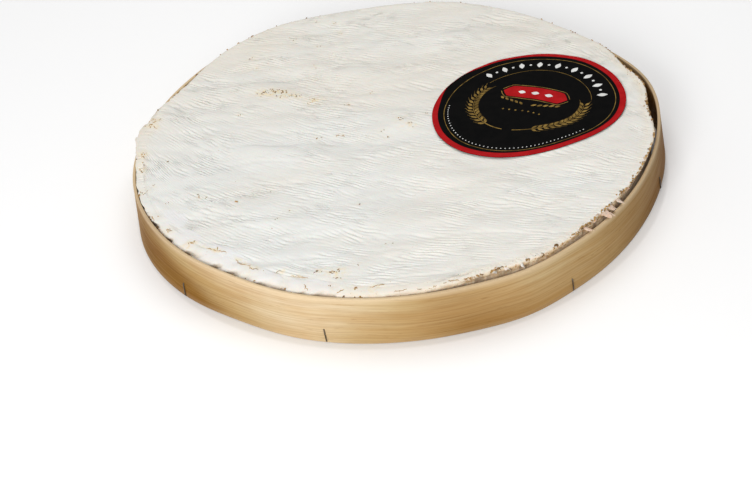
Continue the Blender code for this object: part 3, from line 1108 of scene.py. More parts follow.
def make_rind(look):
    """The whole wheel as one closed mesh: ridged top, crumbly shoulder, side and flat underside."""
    turn = math.radians(RIDGE_DIRECTION)
    u, v = disc_grid(GRID_ACROSS, GRID_ALONG)
    unit_x = -u * math.sin(turn) + v * math.cos(turn)
    unit_y = u * math.cos(turn) + v * math.sin(turn)
    angle = angle_at(unit_x, unit_y)
    reach = cheese_edge(angle) - shoulder(angle)[0]
    x = unit_x * reach
    y = unit_y * reach
    z, valley, bare, share = rind_top(x, y, look)
    near = smooth((share - 0.972) / 0.028) * (1.0 - 0.75 * lip(angle))
    rim = near * rim_tint(angle)
    points = [np.stack([x, y, z], 1)]
    stain = stain_mask(x, y)
    masks = {"valley": [valley], "bare": [bare], "rim": [rim], "side": [0.0 * rim], "stain": [stain]}
    faces = [grid_faces(GRID_ACROSS, GRID_ALONG, True)]
    ring = grid_rim(GRID_ACROSS, GRID_ALONG)
    ring_angle = angle[ring]
    count = GRID_ACROSS * GRID_ALONG
    cos = np.cos(np.radians(ring_angle))
    sin = np.sin(np.radians(ring_angle))
    size = len(ring)
    border_bare = bare[ring]
    border_stain = stain[ring]
    for radius, height, worn, side in rind_rings(ring_angle, z[ring], look):
        points.append(np.stack([radius * cos, radius * sin, height], 1))
        masks["valley"].append(0.0 * cos)
        masks["bare"].append(border_bare * (1.0 - side))
        masks["stain"].append(border_stain * (1.0 - side))
        masks["rim"].append(rim_tint(ring_angle) * worn)
        masks["side"].append(np.maximum(side_tint(ring_angle), 0.35 * lumps(ring_angle)) * side)
        below = count + np.arange(size)
        faces.append(np.stack([ring, np.roll(ring, -1), np.roll(below, -1), below], 1))
        ring = below
        count += size
    points.append(np.array([[0.0, 0.0, 0.0]]))
    for values in masks.values():
        values.append(np.array([0.0]))
    faces = np.concatenate(faces).tolist()
    faces += np.stack([ring, np.roll(ring, -1), np.full(size, count)], 1).tolist()
    points = np.concatenate(points)
    joined = {mask: np.concatenate(values) for mask, values in masks.items()}
    return put_piece("rind", points, faces, rind_material(look), ("cheese",), 65.0, joined)


def surface_height(x, y, look):
    """Height of the rind at places on its top or its shoulder."""
    angle = angle_at(x, y)
    width = shoulder(angle)[0]
    radius = np.hypot(x, y)
    inner = cheese_edge(angle) - width
    sharp = lip(angle)
    past = np.clip((radius - inner) / (width + spread(angle) + filling(angle)), 0.0, 0.98)
    past = past ** (1.0 / (1.0 - LIP_REACH * sharp))
    shrink = np.minimum(1.0, inner / np.maximum(radius, 1e-6))
    fall = raised_drop(angle) * (1.0 - np.sqrt(1.0 - past * past)) ** (1.0 + LIP_FALL * sharp)
    return rind_top(x * shrink, y * shrink, look)[0] - fall


def curl(bits, rng, x, y, direction, length, radius, tone, look, arch=0.3):
    """One curl of dry rind: a short bent worm that lies on the rind, thin at its ends."""
    rings = 5 if length < 0.003 else 8
    step = np.linspace(-0.5, 0.5, rings)
    bend = rng.uniform(-1.4, 1.4)
    heading = math.radians(direction) + bend * step
    path_x = x + np.cumsum(np.cos(heading)) * length / rings
    path_y = y + np.cumsum(np.sin(heading)) * length / rings
    path_x += x - path_x.mean()
    path_y += y - path_y.mean()
    path_x += rng.normal(0.0, 0.05 * length, rings)
    path_y += rng.normal(0.0, 0.05 * length, rings)
    lift = arch * radius * rng.uniform(0.4, 2.2) * np.cos(step * math.pi)
    path_z = surface_height(path_x, path_y, look) + 0.35 * radius + lift
    path = np.stack([path_x, path_y, path_z], 1)
    side, up = frame_along(path)
    thick = radius * (1.0 - (2.0 * step) ** 2 * 0.75) * rng.uniform(0.7, 1.3, rings)
    points = []
    for ring in range(rings):
        for corner in range(CURL_SIDES):
            turn = math.tau * corner / CURL_SIDES
            across = 1.35 * math.cos(turn) * side[ring] + 0.8 * math.sin(turn) * up[ring]
            points.append(path[ring] + thick[ring] * rng.uniform(0.8, 1.2) * across)
    points = np.array(points)
    points[:, 2] = np.minimum(points[:, 2], CAD_BOX[1][2] - 0.00005)
    bits.add(points, tube_faces(rings, CURL_SIDES), tone)


# Groups of marks on the rind: a place and a spread in mm, then their number, size, direction and tone
MARKS = (
    (-93, 73, 4, 2.0, 9, 0.9, 0, 0.85), (-85, 73, 5, 2.5, 10, 1.0, 15, 0.75),
    (-76, 71, 4, 2.5, 9, 0.9, 160, 0.7), (-80, 64, 2, 1.5, 3, 0.8, 60, 0.7),
    (-67, 64, 4, 1.2, 5, 1.0, 165, 0.9), (-54, 58, 5, 2.5, 7, 0.7, 5, 0.35),
    (-57, 53, 5, 2.0, 5, 0.7, 160, 0.3), (-31, 44, 3, 1.0, 3, 1.1, 150, 0.8),
    (-13, 56, 2, 1.0, 2, 0.8, 30, 0.7), (-49, 164, 2, 2, 2, 0.9, 20, 0.8),
    (-35, 160, 2, 2, 2, 0.9, 150, 0.7), (-67, 142, 2, 2, 2, 0.8, 60, 0.8),
    (-31, 146, 2, 2, 2, 0.8, 10, 0.8), (-48, 131, 2, 2, 2, 0.8, 100, 0.7),
    (-101, 123, 2, 2, 2, 0.9, 40, 0.8), (-97, 110, 2, 2, 2, 0.8, 150, 0.8),
    (-53, 101, 2, 2, 2, 0.8, 20, 0.8), (-109, 48, 2, 1, 2, 0.8, 80, 0.75),
    (-160, -1, 2, 1, 1, 1.2, 120, 0.95), (-157, -52, 2, 1, 2, 0.8, 100, 0.8),
    (-169, -31, 2, 2, 3, 0.7, 30, 0.6), (-137, -49, 1, 2.5, 3, 0.9, 10, 0.6),
    (-131, -51, 1, 1, 2, 0.8, 20, 0.8), (-111, -59, 2, 0.6, 2, 1.8, 10, 0.45),
    (-38, 6, 3, 0.5, 3, 1.5, 25, 0.45), (-53, 6, 3, 1, 2, 1.1, 20, 0.9), (-9, 4, 2, 1, 2, 0.9, 140, 0.8),
    (-5, -4, 2, 1, 2, 0.9, 100, 0.8), (6, 14, 3, 3, 5, 0.8, 160, 0.8), (12, 5, 4, 2.5, 5, 0.8, 20, 0.75),
    (24, 17, 3, 1, 2, 0.8, 70, 0.8), (-82, -85, 3, 1, 2, 0.9, 20, 0.8), (-74, -77, 2, 1, 2, 0.8, 10, 0.8),
    (-13, -127, 3, 1, 2, 0.8, 150, 0.8), (-31, -147, 2, 1, 2, 0.8, 10, 0.8),
    (-29, -81, 2, 1, 2, 0.9, 20, 0.8), (-57, -147, 3, 1.5, 5, 0.9, 30, 0.85),
    (-50, -151, 4, 2, 8, 1.0, 150, 0.8), (-44, -150, 3, 2, 5, 1.0, 60, 0.6),
    (-46, -156, 3, 1.5, 4, 0.9, 20, 0.7), (-51, -163, 2, 1, 3, 0.8, 90, 0.8),
    (-36, -168, 2, 2, 3, 1.2, 100, 0.5), (-174, 44, 2, 2, 6, 1.0, 20, 0.55),
    (-173, 51, 3, 2, 6, 1.0, 60, 0.5), (-177, 37, 1, 2, 4, 0.9, 100, 0.5),
    (-178, 8, 2, 4, 7, 1.1, 80, 0.5), (-178, -8, 2, 5, 9, 1.2, 100, 0.5),
    (-175, -36, 2, 2, 4, 1.0, 60, 0.75), (-167, -65, 3, 0.8, 3, 1.0, 140, 0.6),
    (-157, -82, 3, 0.8, 4, 1.0, 150, 0.7), (-140, -100, 3, 0.8, 3, 0.9, 100, 0.6),
    (-88, 71.0, 6, 4.0, 13, 0.8, 10, 0.9), (-72, 65, 6, 3.0, 8, 0.75, 160, 0.85),
)

# Thin ochre lines near the edge and round the bare patches: a start in mm, a direction, a length and a bend
LINES = (
    (-132.3, -104.5, -37, 10, 0.4), (-123.5, -111.4, -25, 6, 0.2), (-123.5, -113.2, 80, 4, 0.4),
    (-110.2, -122.6, -50, 9, 1.0), (-102.6, -129.9, -44, 9, 1.0), (-84.8, -144.4, 30, 7, -1.3),
    (-75.5, -147.0, -27, 10, 0.2), (-66.5, -158.0, -75, 5, 0.6), (-52, -171, 10, 8, 0.3),
    (-28, -171, 5, 9, -0.3), (-13, -177.2, 2, 8, 0.4), (1, -177.9, 2, 12, 0.5), (16, -177.4, 6, 10, -0.5),
    (29, -175.8, 10, 10, 0.5), (-141.0, -97.6, -50, 4, 0.6), (-141.0, -101.6, 50, 4, 0.3),
    (-156.6, -79.6, -80, 4, 0.5), (-158.0, -82.0, -20, 4, 0.3), (-167.6, -62.4, -80, 4, 0.5),
    (-168.6, -65.0, -30, 3, 0.3), (-174, 47, 40, 8, 1.2), (-177, 38, 95, 6, -0.5),
    (-171, 44, -60, 6, 1.0),
)


def make_curls(look, rind_look):
    """All curls: those round the rim, the groups on the top and the thin lines near the edge."""
    rng = np.random.default_rng(23)
    bits = Bits()
    for low, high, part in CURL_SPANS:
        for _ in range(int(part * look.rim_curls)):
            angle = rng.uniform(low, high)
            if mottle(angle * ARC_PER_DEGREE, 0.0, 0.0085, 51) < 0.50 * rng.random() - 0.33:
                continue
            inward = rng.gamma(1.5, 0.00036) + 0.0002
            radius = cheese_edge(angle) + spread(angle) + filling(angle) - inward
            heading = angle + 90.0 + rng.normal(0.0, 20.0)
            size = look.curl_length * rng.lognormal(-0.30, 0.38)
            tone = np.clip(rng.normal(0.62, 0.28), 0.05, 1.0)
            thick = look.curl_radius * rng.uniform(0.9, 2.0)
            x, y, _ = polar(radius, angle)
            curl(bits, rng, x, y, heading, min(size, 0.0050), thick, tone, rind_look, 0.8)
    for x, y, spread_x, spread_y, number, size, direction, tone in MARKS:
        for _ in range(number):
            place_x = (x + rng.normal(0.0, 0.6 * spread_x)) * 0.001
            place_y = (y + rng.normal(0.0, 0.6 * spread_y)) * 0.001
            length = look.curl_length * size * rng.uniform(0.45, 0.95)
            shade = np.clip(tone + rng.normal(0.0, 0.15), 0.0, 1.0)
            thick = look.curl_radius * size * rng.uniform(0.6, 1.1)
            heading = direction + rng.normal(0.0, 35.0)
            curl(bits, rng, place_x, place_y, heading, length, thick, shade, rind_look)
    for x, y, direction, length, bend in LINES:
        pieces = max(2, int(length / 2.6))
        heading = math.radians(direction) - 0.5 * bend
        place = np.array((x, y), float)
        for _ in range(pieces):
            step = length / pieces
            place = place + step * np.array((math.cos(heading), math.sin(heading)))
            heading += bend / pieces
            if rng.random() < 0.08:
                continue
            shade = np.clip(rng.normal(0.50, 0.18), 0.1, 1.0)
            thick = look.curl_radius * rng.uniform(0.55, 0.85)
            curl(bits, rng, *(place * 0.001), math.degrees(heading), 0.0016 * step, thick, shade, rind_look)
    return bits.put("rind_curls", crust_material("dry curls", look))


# Torn tongues of rind over the rim: an angle, a length in mm, a width in mm and a tone
RAGS = (
    (292.0, 5.4, 2.0, 0.12), (300.5, 2.6, 2.4, 0.30), (308.3, 6.2, 3.4, 0.28), (311.5, 3.4, 3.0, 0.30),
    (314.6, 8.4, 6.4, 0.28), (316.9, 5.6, 4.5, 0.24), (319.8, 6.8, 3.2, 0.20), (324.0, 3.2, 2.6, 0.30),
    (330.5, 2.6, 2.4, 0.35), (338.0, 2.4, 2.0, 0.30), (286.5, 3.6, 3.6, 0.10), (288.8, 4.2, 3.4, 0.16),
)


def make_rags(look, rind_look):
    """Torn tongues of rind that hang over the edge."""
    rng = np.random.default_rng(31)
    bits = Bits()
    rows = 9
    columns = 8
    for angle, length, width, tone in RAGS:
        start = cheese_edge(angle) + spread(angle) - 0.0012
        out = polar(1.0, angle)
        side = polar(1.0, angle + 90.0)
        level = edge_height(angle) - 0.55 * shoulder(angle)[1]
        lean = rng.normal(0.0, 0.25)
        cut = 1.0 - 0.45 * rng.random(columns)
        cut[0] = cut[-1] = 0.60
        ragged = 1.0 + 0.14 * rng.normal(size=rows)
        twist = rng.normal(0.0, 0.35)
        points = []
        for layer in (0, 1):
            for row in range(rows):
                share = row / (rows - 1.0)
                half = 0.5 * width * 0.001 * (1.0 - 0.45 * share ** 1.6) * ragged[row]
                for column in range(columns):
                    across = 2.0 * column / (columns - 1.0) - 1.0
                    along = length * 0.001 * share * cut[column]
                    place = out * (start + along) + side * (half * across + lean * along)
                    arch = 0.0005 * math.cos(1.5 * across) + 0.0004 * math.sin(2.6 * math.pi * share + across)
                    height = level + arch * (0.3 + share) - 0.30 * along + twist * half * across * share
                    height = max(height, HOOP_HEIGHT + 0.0006 + 0.0004 * math.sin(3.0 * across + 5.0 * share))
                    thick = 0.00085 * (1.0 - 0.6 * share) * (1.0 - 0.5 * abs(across) ** 3)
                    place[2] = height + (0.5 - layer) * thick
                    points.append(place)
        points = np.array(points)
        bits.add(points, outward(points, sheet_faces(rows, columns)), tone)
    return bits.put("rind_rags", rag_material(look, rind_look))


# Label


def label_place(px, py, lift, look):
    """Place of a point of the round design, of radius 1 with +Y up, on the label's face."""
    turn = np.arctan2(py, px) + math.radians(PRINT_UP - 90.0)
    reach = label_reach(turn) * np.hypot(px, py)
    x = LABEL_CENTRE[0] + reach * np.cos(turn)
    y = LABEL_CENTRE[1] + reach * np.sin(turn)
    wave = look.wrinkle * (rough(x, y, 0.022, 61, 2) - 0.2)
    curl_up = 0.00025 * smooth((np.hypot(px, py) - 0.93) / 0.07) * (0.5 + mottle(x, y, 0.02, 64))
    z = top_height(x, y) + look.paper_lift + wave * 0.8 + curl_up + lift
    return np.stack([x, y, z], -1)


def make_label(look):
    """The paper disc, a thin closed sheet with soft waves."""
    size = LABEL_GRID
    u, v = disc_grid(size, size)
    low = label_place(u, v, 0.0, look)
    high = label_place(u, v, look.paper_thickness, look)
    count = size * size
    faces = [grid_faces(size, size), grid_faces(size, size, True) + count]
    ring = grid_rim(size, size)
    after = np.roll(ring, -1)
    faces.append(np.stack([ring, ring + count, after + count, after], 1)[:, ::-1])
    faces = np.concatenate(faces)[:, ::-1].tolist()
    face = ink_material("printed black paper", look.face_colour, (0.0048, 0.0046, 0.0044), 0.50)
    points = np.concatenate([low, high])
    return put_piece("label_paper", points, faces, face, ("label",), 60.0, {})


def inlay(bits, left, right, look, closed=False, lift=INK_LIFT):
    """A thin printed form between two lines of design points, following the label."""
    left = np.asarray(left, float)
    right = np.asarray(right, float)
    rows = len(left)
    shares = np.linspace(0.0, 1.0, INK_POINTS)
    flat = left[:, None, :] + (right - left)[:, None, :] * shares[None, :, None]
    points = np.concatenate([
        label_place(flat[..., 0].ravel(), flat[..., 1].ravel(), height, look)
        for height in (look.paper_thickness + lift, look.paper_thickness - INK_DEPTH)
    ])
    count = rows * INK_POINTS
    last = INK_POINTS - 1
    if closed:
        faces = []
        for row in range(rows):
            here = row * INK_POINTS
            there = ((row + 1) % rows) * INK_POINTS
            for column in range(last):
                faces.append((here + column, there + column, there + column + 1, here + column + 1))
                faces.append(tuple(count + corner for corner in faces[-1][::-1]))
            faces.append((there, here, here + count, there + count))
            faces.append((here + last, there + last, there + last + count, here + last + count))
    else:
        faces = sheet_faces(rows, INK_POINTS)
    bits.add(points, outward(points, faces))


def stroke(bits, path, widths, look, **options):
    """An inlay along a path of design points, with a half-width at each."""
    path = np.asarray(path, float)
    along = tangents(path)
    side = np.stack([-along[:, 1], along[:, 0]], 1)
    widths = np.maximum(np.asarray(widths, float), 0.0007)[:, None]
    inlay(bits, path + side * widths, path - side * widths, look, **options)


def leaf(bits, place, direction, length, width, look, power=1.0, **options):
    """A pointed leaf or a lozenge, from its foot in a direction."""
    turn = math.radians(direction)
    share = np.linspace(0.0, 1.0, 7)
    path = np.array(place) + np.outer(share * length, (math.cos(turn), math.sin(turn)))
    stroke(bits, path, width * np.sin(share * math.pi) ** power, look, **options)


def dot(bits, place, radius, look, **options):
    """A small round dot."""
    share = np.linspace(-1.0, 1.0, 7)
    path = np.array(place) + np.outer(share * radius, (1.0, 0.0))
    stroke(bits, path, radius * np.sqrt(1.0 - share ** 2), look, **options)


def on_circle(radius, degrees):
    """Point of the design on a circle, from the right-hand side counter-clockwise."""
    turn = np.radians(degrees)
    return np.stack([radius * np.cos(turn), radius * np.sin(turn)], -1)


def make_print(look):
    """The label's print: border, lozenges, wreath, plaque and fine lines, each colour a piece."""
    red = Bits()
    gold = Bits()
    white = Bits()
    around = np.linspace(0.0, 360.0, 181)[:-1]
    plan = around + PRINT_UP - 90.0
    width = look.border_width + look.border_shift * bells(plan, ((264.0, 1.0, 45.0), (92.0, -1.0, 34.0)))
    width = width * (1.0 - 1.15 * bell(plan, 137.0, 21.0)) + 0.00025 * mottle(around * 0.02, 0.0, 0.5, 71)
    width = np.maximum(width, 0.0002) / LABEL_RADIUS
    inlay(red, on_circle(0.999, around), (0.999 - width)[:, None] * on_circle(1.0, around), look, True)
    ring_shift = 0.010 * on_circle(1.0, 45.0)
    for radius, half in ((0.885, 0.0035), (0.640, 0.0024)):
        span = around if radius > 0.7 else np.linspace(22.0, 158.0, 70)
        inner = on_circle(radius - half, span) + ring_shift
        outer = on_circle(radius + half, span) + ring_shift
        inlay(gold, outer, inner, look, closed=radius > 0.7)
    for number, degrees in enumerate(np.linspace(30.0, 150.0, 17)):
        if number % 2 == 0:
            leaf(white, on_circle(0.765 - 0.056, degrees), degrees, 0.112, 0.030, look)
        else:
            dot(white, on_circle(0.765, degrees), 0.015, look)
    for degrees in np.linspace(200.0, 340.0, 47):
        dot(white, on_circle(0.835, degrees), 0.0066, look)
    wreath(gold, look)
    plaque(red, gold, white, look)
    red_ink = ink_material("red ink", look.red_colour, (0.36, 0.008, 0.010), 0.40)
    gold_ink = ink_material("gold ink", look.gold_colour, (0.12, 0.075, 0.02), 0.45)
    white_ink = ink_material("white ink", look.white_colour, (0.66, 0.66, 0.64), 0.50)
    return [
        red.put("label_red_print", red_ink),
        gold.put("label_gold_print", gold_ink),
        white.put("label_white_print", white_ink),
    ]


def wreath(gold, look):
    """Two curved ears of corn that meet at the foot of the design."""
    for hand in (-1.0, 1.0):
        share = np.linspace(0.0, 1.0, 31)
        stem = on_circle(0.61 - 0.02 * share, 270.0 + hand * (5.0 + 98.0 * share))
        stem = stem * np.array((1.0, 0.84)) + np.array((0.0, 0.01))
        stroke(gold, stem, 0.0052 * (1.0 - 0.5 * share), look)
        for number in range(6, 31, 2):
            heading = np.degrees(np.arctan2(*(stem[number] - stem[number - 1])[::-1]))
            size = 1.0 - 0.45 * abs(share[number] - 0.5)
            for lean in (-36.0, 36.0):
                foot = stem[number] + 0.010 * on_circle(1.0, heading + 1.8 * lean)
                leaf(gold, foot, heading + lean, 0.082 * size, 0.0175 * size, look, 0.8)
                tip = foot + 0.080 * size * on_circle(1.0, heading + lean)
                whisker = np.linspace(tip, tip + 0.055 * on_circle(1.0, heading + 0.5 * lean), 5)
                stroke(gold, whisker, np.linspace(0.0020, 0.0008, 5), look)


def plaque(red, gold, white, look):
    """A pointed red plaque with a gold outline and three white lozenges."""
    half = 0.37
    share = np.linspace(-1.0, 1.0, 21)
    height = 0.098 * np.clip((1.0 - np.abs(share)) / 0.22, 0.0, 1.0) ** 0.8
    path = np.stack([half * share, 0.16 + 0.03 * (1.0 - share ** 2)], 1)
    top = path + np.stack([0.0 * share, height + 0.001], 1)
    low = path - np.stack([0.0 * share, height + 0.001], 1)
    inlay(red, top, low, look, lift=0.00006)
    for line, sign in ((top, 1.0), (low, -1.0)):
        off = np.stack([0.020 * share, np.full(21, 0.020 * sign)], 1)
        stroke(gold, line + off, np.full(21, 0.0042), look)
    for number in (-1, 0, 1):
        centre = np.array((0.155 * number, 0.187 - 0.006 * abs(number)))
        leaf(white, centre - np.array((0.045, 0.0)), 0.0, 0.090, 0.028, look, 1.0, lift=0.00010)
    for hand in (-1.0, 1.0):
        for number in range(5):
            foot = np.array((hand * (0.05 + 0.062 * number), -0.03 + 0.012 * number))
            leaf(gold, foot, 90.0 - hand * 55.0, 0.060, 0.014, look, 0.8)
    for number in range(-3, 4):
        dot(gold, (0.070 * number, -0.13 - 0.008 * abs(number)), 0.011, look)


# Hoop and staples


def corner_rows(radius, height, inward, upward, mask):
    """Rows of one rounded corner of the strip's section."""
    rows = []
    for degrees in (90.0, 60.0, 30.0, 0.0):
        turn = math.radians(degrees)
        along = radius + inward * (1.0 - math.cos(turn))
        rows.append((along, height + upward * (1.0 - math.sin(turn)), mask))
    return rows


def strip_section(travel, look):
    """Cross-section of the strip at a distance of travel in degrees, from its tucked-in end."""
    angle = travel % 360.0
    tail = travel > 360.0 + LAP_START - LAP_FADE
    tucked = travel < LAP_END + LAP_FADE
    face = hoop_outline(angle)
    if tail:
        face = face + LAP_STEP * smooth((travel - 360.0 - LAP_START + LAP_FADE) / LAP_FADE)
    if tucked:
        face = face - LAP_STEP * (1.0 - smooth((travel - LAP_END) / LAP_FADE))
    arc = travel * ARC_PER_DEGREE
    rim = HOOP_HEIGHT - look.unevenness * (0.5 + 0.5 * rough(arc, 0.0, 0.06, 81, 4))
    foot = look.unevenness * (0.35 + 0.35 * rough(arc, 0.3, 0.05, 83, 4))
    thick = STRIP_THICKNESS - 0.0002 * (0.5 + 0.5 * mottle(arc, 0.0, 0.09, 85))
    inner = face - thick
    rows = corner_rows(face, foot, -STRIP_EDGE, STRIP_EDGE, 0.3)
    for share in np.linspace(0.12, 0.88, 6):
        wave = 0.00012 * mottle(arc, share * 0.03, 0.016, 87)
        rows.append((face - abs(wave), foot + share * (rim - foot), 0.0))
    rows += corner_rows(face, rim, -STRIP_EDGE, -STRIP_EDGE, 1.0)[::-1]
    rows += corner_rows(inner, rim, STRIP_EDGE, -STRIP_EDGE, 1.0)
    for share in np.linspace(0.88, 0.12, 6):
        rows.append((inner, foot + share * (rim - foot), 0.0))
    rows += corner_rows(inner, foot, STRIP_EDGE, STRIP_EDGE, 0.3)[::-1]
    return [(radius + hoop_lean(angle, height), height, mask) for radius, height, mask in rows]


def painted_hoop_shade(angle, share):
    """How much painted shade, partly the wood's own tone, darkens the wood round the hoop, at a share of its
    height.
    """
    rim = 0.06 + bells(angle, RIM_SHADE)
    foot = bells(angle, FOOT_SHADE)
    return float(np.clip(foot + (rim - foot) * smooth(share), 0.0, 1.0))


def make_hoop(look):
    """The bent strip from its tucked-in end round to its outer end, as one closed band."""
    travels = np.linspace(LAP_START, 360.0 + LAP_END, HOOP_SLICES)
    points = []
    edges = []
    hoop_shades = []
    for travel in travels:
        for radius, height, edge in strip_section(travel, look):
            points.append(polar(radius, travel, height))
            edges.append(edge)
            hoop_shades.append(painted_hoop_shade(travel % 360.0, height / HOOP_HEIGHT))
    sides = len(strip_section(travels[0], look))
    points = np.array(points)
    faces = outward(points, tube_faces(len(travels), sides))
    # The tan mask is painted shade on the wood, partly its own tone.
    masks = {"edge": edges, "tan": hoop_shades}
    return put_piece("hoop_strip", points, faces, hoop_material(look), ("hoop",), 50.0, masks)


def staple(bits, low, high, out, look):
    """One staple: its wire lies on the wood, and both ends bend into it."""
    up = (high - low) / np.linalg.norm(high - low)
    path = [low - out * (STAPLE_BEND + STAPLE_END)]
    for end, rise, turns in ((low, up, (0.0, 45.0, 90.0)), (high, -up, (90.0, 45.0, 0.0))):
        for degrees in turns:
            turn = math.radians(degrees)
            path.append(end + STAPLE_BEND * (rise * (1.0 - math.cos(turn)) - out * (1.0 - math.sin(turn))))
    path.insert(4, 0.5 * (low + high))
    path.append(high - out * (STAPLE_BEND + STAPLE_END))
    path = np.array(path)
    side = np.cross(out, up)
    points = []
    for place, along in zip(path, tangents(path)):
        across = np.cross(along, side)
        for corner in range(WIRE_SIDES):
            turn = math.tau * corner / WIRE_SIDES
            points.append(place + look.wire_radius * (math.cos(turn) * side + math.sin(turn) * across))
    points = np.array(points)
    bits.add(points, outward(points, tube_faces(len(path), WIRE_SIDES)))


def on_hoop(angle, height, out):
    """Place on the outer face of the hoop, a little out from it."""
    return polar(hoop_outline(angle) + lap_outside(angle) + hoop_lean(angle, height) + out, angle, height)


def numbered(name, count):
    """Names of the solids of one kind, counted from 1."""
    return ["%s_%d" % (name, number) for number in range(1, count + 1)]


def make_staples(look):
    """Upright staples round the foot of the hoop, and a row of them at the lap."""
    steel = steel_material(look)
    foot = Bits()
    out = WIRE_RADIUS + WIRE_STAND_OFF - 0.0002
    lean = math.degrees(FOOT_STAPLE_LENGTH * math.tan(math.radians(FOOT_STAPLE_LEAN)) / HOOP_RADIUS)
    for angle in FOOT_STAPLES:
        low = on_hoop(angle + 0.5 * lean, 0.0010, out)
        high = on_hoop(angle - 0.5 * lean, 0.0008 + FOOT_STAPLE_LENGTH, out)
        staple(foot, low, high, polar(1.0, angle), look)
    lap = Bits()
    for number in range(LAP_STAPLES):
        angle = LAP_START + (LAP_END - LAP_START) * (number + 0.5) / LAP_STAPLES
        middle = HOOP_HEIGHT * (0.5 + 0.12 * (-1) ** number)
        low = on_hoop(angle, middle - 0.5 * LAP_STAPLE_LENGTH, out)
        high = on_hoop(angle, middle + 0.5 * LAP_STAPLE_LENGTH, out)
        staple(lap, low, high, polar(1.0, angle), look)
    return [
        foot.put("foot_staples", steel, numbered("foot_staple", len(FOOT_STAPLES))),
        lap.put("lap_staples", steel, numbered("lap_staple", LAP_STAPLES)),
    ]


# Stage


def make_floor(look):
    """A pale floor that glows faintly outside the wheel."""
    sides = ((-1, -1), (1, -1), (1, 1), (-1, 1))
    corners = [(x * FLOOR_HALF, y * FLOOR_HALF, FLOOR_HEIGHT) for x, y in sides]
    mesh = bpy.data.meshes.new("floor")
    mesh.from_pydata(corners, [], [(0, 1, 2, 3)])
    material, tree, shader = new_material("pale floor", Roughness=0.9, Specular_IOR_Level=0.1)
    shader.inputs["Base Color"].default_value = paint(look.floor_colour)
    shader.inputs["Emission Strength"].default_value = FLOOR_GLOW
    middle = node(tree, "ShaderNodeVectorMath", {"operation": "ADD"})
    join(tree, object_place(tree), middle.inputs[0])
    middle.inputs[1].default_value = (MIDDLE.x, MIDDLE.y, 0.0)
    far = node(tree, "ShaderNodeVectorMath", {"operation": "LENGTH"})
    join(tree, middle.outputs["Vector"], far.inputs[0])
    glow = remap(tree, far.outputs["Value"], GLOW_START, GLOW_END)
    join(tree, mix(tree, glow, paint(BLACK), paint(WHITE)), shader.inputs["Emission Color"])
    mesh.materials.append(material)
    floor = bpy.data.objects.new("floor", mesh)
    bpy.context.scene.collection.objects.link(floor)
    return floor


def make_lights(look):
    """The pale surround and the soft square lights."""
    world = bpy.data.worlds.new("surround")
    world.use_nodes = True
    background = world.node_tree.nodes["Background"]
    background.inputs["Color"].default_value = paint(WHITE)
    background.inputs["Strength"].default_value = look.surround
    bpy.context.scene.world = world
    for name, (place, size, power) in LIGHTS.items():
        data = bpy.data.lights.new(name, "AREA")
        data.shape = "SQUARE"
        data.size = size
        data.energy = getattr(look, power)
        light = bpy.data.objects.new(name, data)
        light.location = place
        light.rotation_euler = (Vector(LIGHT_TARGET) - light.location).to_track_quat("-Z", "Y").to_euler()
        bpy.context.scene.collection.objects.link(light)


def make_camera(look):
    """The camera, placed and turned as in the photograph."""
    yaw = math.radians(CAMERA_YAW)
    pitch = math.radians(CAMERA_PITCH)
    roll = math.radians(CAMERA_ROLL)
    ahead = Vector((math.sin(yaw) * math.cos(pitch), math.cos(yaw) * math.cos(pitch), -math.sin(pitch)))
    level = Vector((math.cos(yaw), -math.sin(yaw), 0.0))
    above = level.cross(ahead)
    right = math.cos(roll) * level + math.sin(roll) * above
    up = -math.sin(roll) * level + math.cos(roll) * above
    data = bpy.data.cameras.new("camera")
    data.lens = look.lens
    data.sensor_width = 36.0
    data.dof.use_dof = False
    camera = bpy.data.objects.new("camera", data)
    turn = Matrix((right, up, -ahead)).transposed()
    camera.matrix_world = Matrix.Translation(Vector(CAMERA_PLACE) - MIDDLE) @ turn.to_4x4()
    bpy.context.scene.collection.objects.link(camera)
    bpy.context.scene.camera = camera


def make_stage(look):
    """Pale floor, soft lights, and the camera."""
    floor = make_floor(look)
    make_lights(look)
    make_camera(look)
    bpy.context.scene.view_settings.view_transform = "Standard"


# Operators and panel


class CHEESE_OT_rind(bpy.types.Operator):
    """Make the white rind of the whole wheel"""

    bl_idname = "cheese.rind"
    bl_label = "Rind"

    def execute(self, context):
        make_rind(context.scene.cheese_rind)
        return {"FINISHED"}


class CHEESE_OT_curls(bpy.types.Operator):
    """Make the dry curls of rind at the rim and on the top"""

    bl_idname = "cheese.curls"
    bl_label = "Curls of rind"

    def execute(self, context):
        make_curls(context.scene.cheese_crust, context.scene.cheese_rind)
        return {"FINISHED"}


class CHEESE_OT_rags(bpy.types.Operator):
    """Make the torn tongues of rind over the rim"""

    bl_idname = "cheese.rags"
    bl_label = "Rags of rind"

    def execute(self, context):
        make_rags(context.scene.cheese_crust, context.scene.cheese_rind)
        return {"FINISHED"}


class CHEESE_OT_label(bpy.types.Operator):
    """Make the round paper label"""

    bl_idname = "cheese.label"
    bl_label = "Paper label"

    def execute(self, context):
        make_label(context.scene.cheese_label)
        return {"FINISHED"}


class CHEESE_OT_print(bpy.types.Operator):
    """Make the print on the label"""

    bl_idname = "cheese.label_print"
    bl_label = "Label print"

    def execute(self, context):
        make_print(context.scene.cheese_label)
        return {"FINISHED"}


class CHEESE_OT_hoop(bpy.types.Operator):
    """Make the bent wooden strip"""

    bl_idname = "cheese.hoop"
    bl_label = "Wooden hoop"

    def execute(self, context):
        make_hoop(context.scene.cheese_hoop)
        return {"FINISHED"}


class CHEESE_OT_staples(bpy.types.Operator):
    """Make the staples of the hoop"""

    bl_idname = "cheese.staples"
    bl_label = "Staples"

    def execute(self, context):
        make_staples(context.scene.cheese_staples)
        return {"FINISHED"}


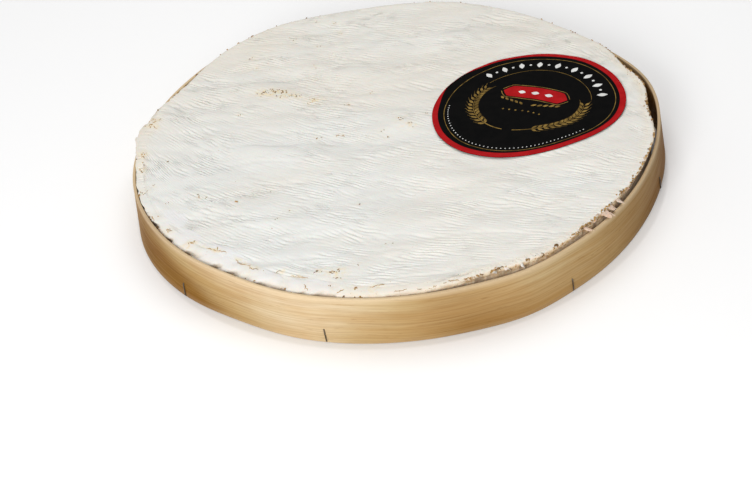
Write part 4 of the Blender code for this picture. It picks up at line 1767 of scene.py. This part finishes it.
class CHEESE_OT_stage(bpy.types.Operator):
    """Make the floor, the lights and the camera"""

    bl_idname = "cheese.stage"
    bl_label = "Stage"

    def execute(self, context):
        make_stage(context.scene.cheese_stage)
        return {"FINISHED"}


class CHEESE_PT_panel(bpy.types.Panel):
    """Settings and buttons for every piece"""

    bl_idname = "CHEESE_PT_panel"
    bl_label = "Soft cheese wheel"
    bl_space_type = "VIEW_3D"
    bl_region_type = "UI"
    bl_category = "Cheese"

    def draw(self, context):
        for settings, operators in SECTIONS:
            box = self.layout.box()
            group = getattr(context.scene, settings)
            for name in group.bl_rna.properties.keys():
                if name not in ("rna_type", "name"):
                    box.prop(group, name)
            for operator in operators:
                box.operator(operator)


SETTINGS = {
    "cheese_rind": RindSettings,
    "cheese_crust": CrustSettings,
    "cheese_label": LabelSettings,
    "cheese_hoop": HoopSettings,
    "cheese_staples": StapleSettings,
    "cheese_stage": StageSettings,
}
SECTIONS = (
    ("cheese_rind", ("cheese.rind",)),
    ("cheese_crust", ("cheese.curls", "cheese.rags")),
    ("cheese_label", ("cheese.label", "cheese.label_print")),
    ("cheese_hoop", ("cheese.hoop",)),
    ("cheese_staples", ("cheese.staples",)),
    ("cheese_stage", ("cheese.stage",)),
)
OPERATORS = (
    CHEESE_OT_rind,
    CHEESE_OT_curls,
    CHEESE_OT_rags,
    CHEESE_OT_label,
    CHEESE_OT_print,
    CHEESE_OT_hoop,
    CHEESE_OT_staples,
    CHEESE_OT_stage,
)


def register():
    """Make the settings, operators and panel known."""
    for name, kind in SETTINGS.items():
        bpy.utils.register_class(kind)
        setattr(bpy.types.Scene, name, PointerProperty(type=kind))
    for operator in OPERATORS:
        bpy.utils.register_class(operator)
    bpy.utils.register_class(CHEESE_PT_panel)


def unregister():
    """Take the settings, operators and panel away again."""
    bpy.utils.unregister_class(CHEESE_PT_panel)
    for operator in reversed(OPERATORS):
        bpy.utils.unregister_class(operator)
    for name, kind in SETTINGS.items():
        delattr(bpy.types.Scene, name)
        bpy.utils.unregister_class(kind)


def main():
    """Make every piece."""
    register()
    bpy.ops.cheese.stage()
    bpy.ops.cheese.rind()
    bpy.ops.cheese.curls()
    bpy.ops.cheese.rags()
    bpy.ops.cheese.label()
    bpy.ops.cheese.label_print()
    bpy.ops.cheese.hoop()
    bpy.ops.cheese.staples()


if __name__ == "__main__":
    main()
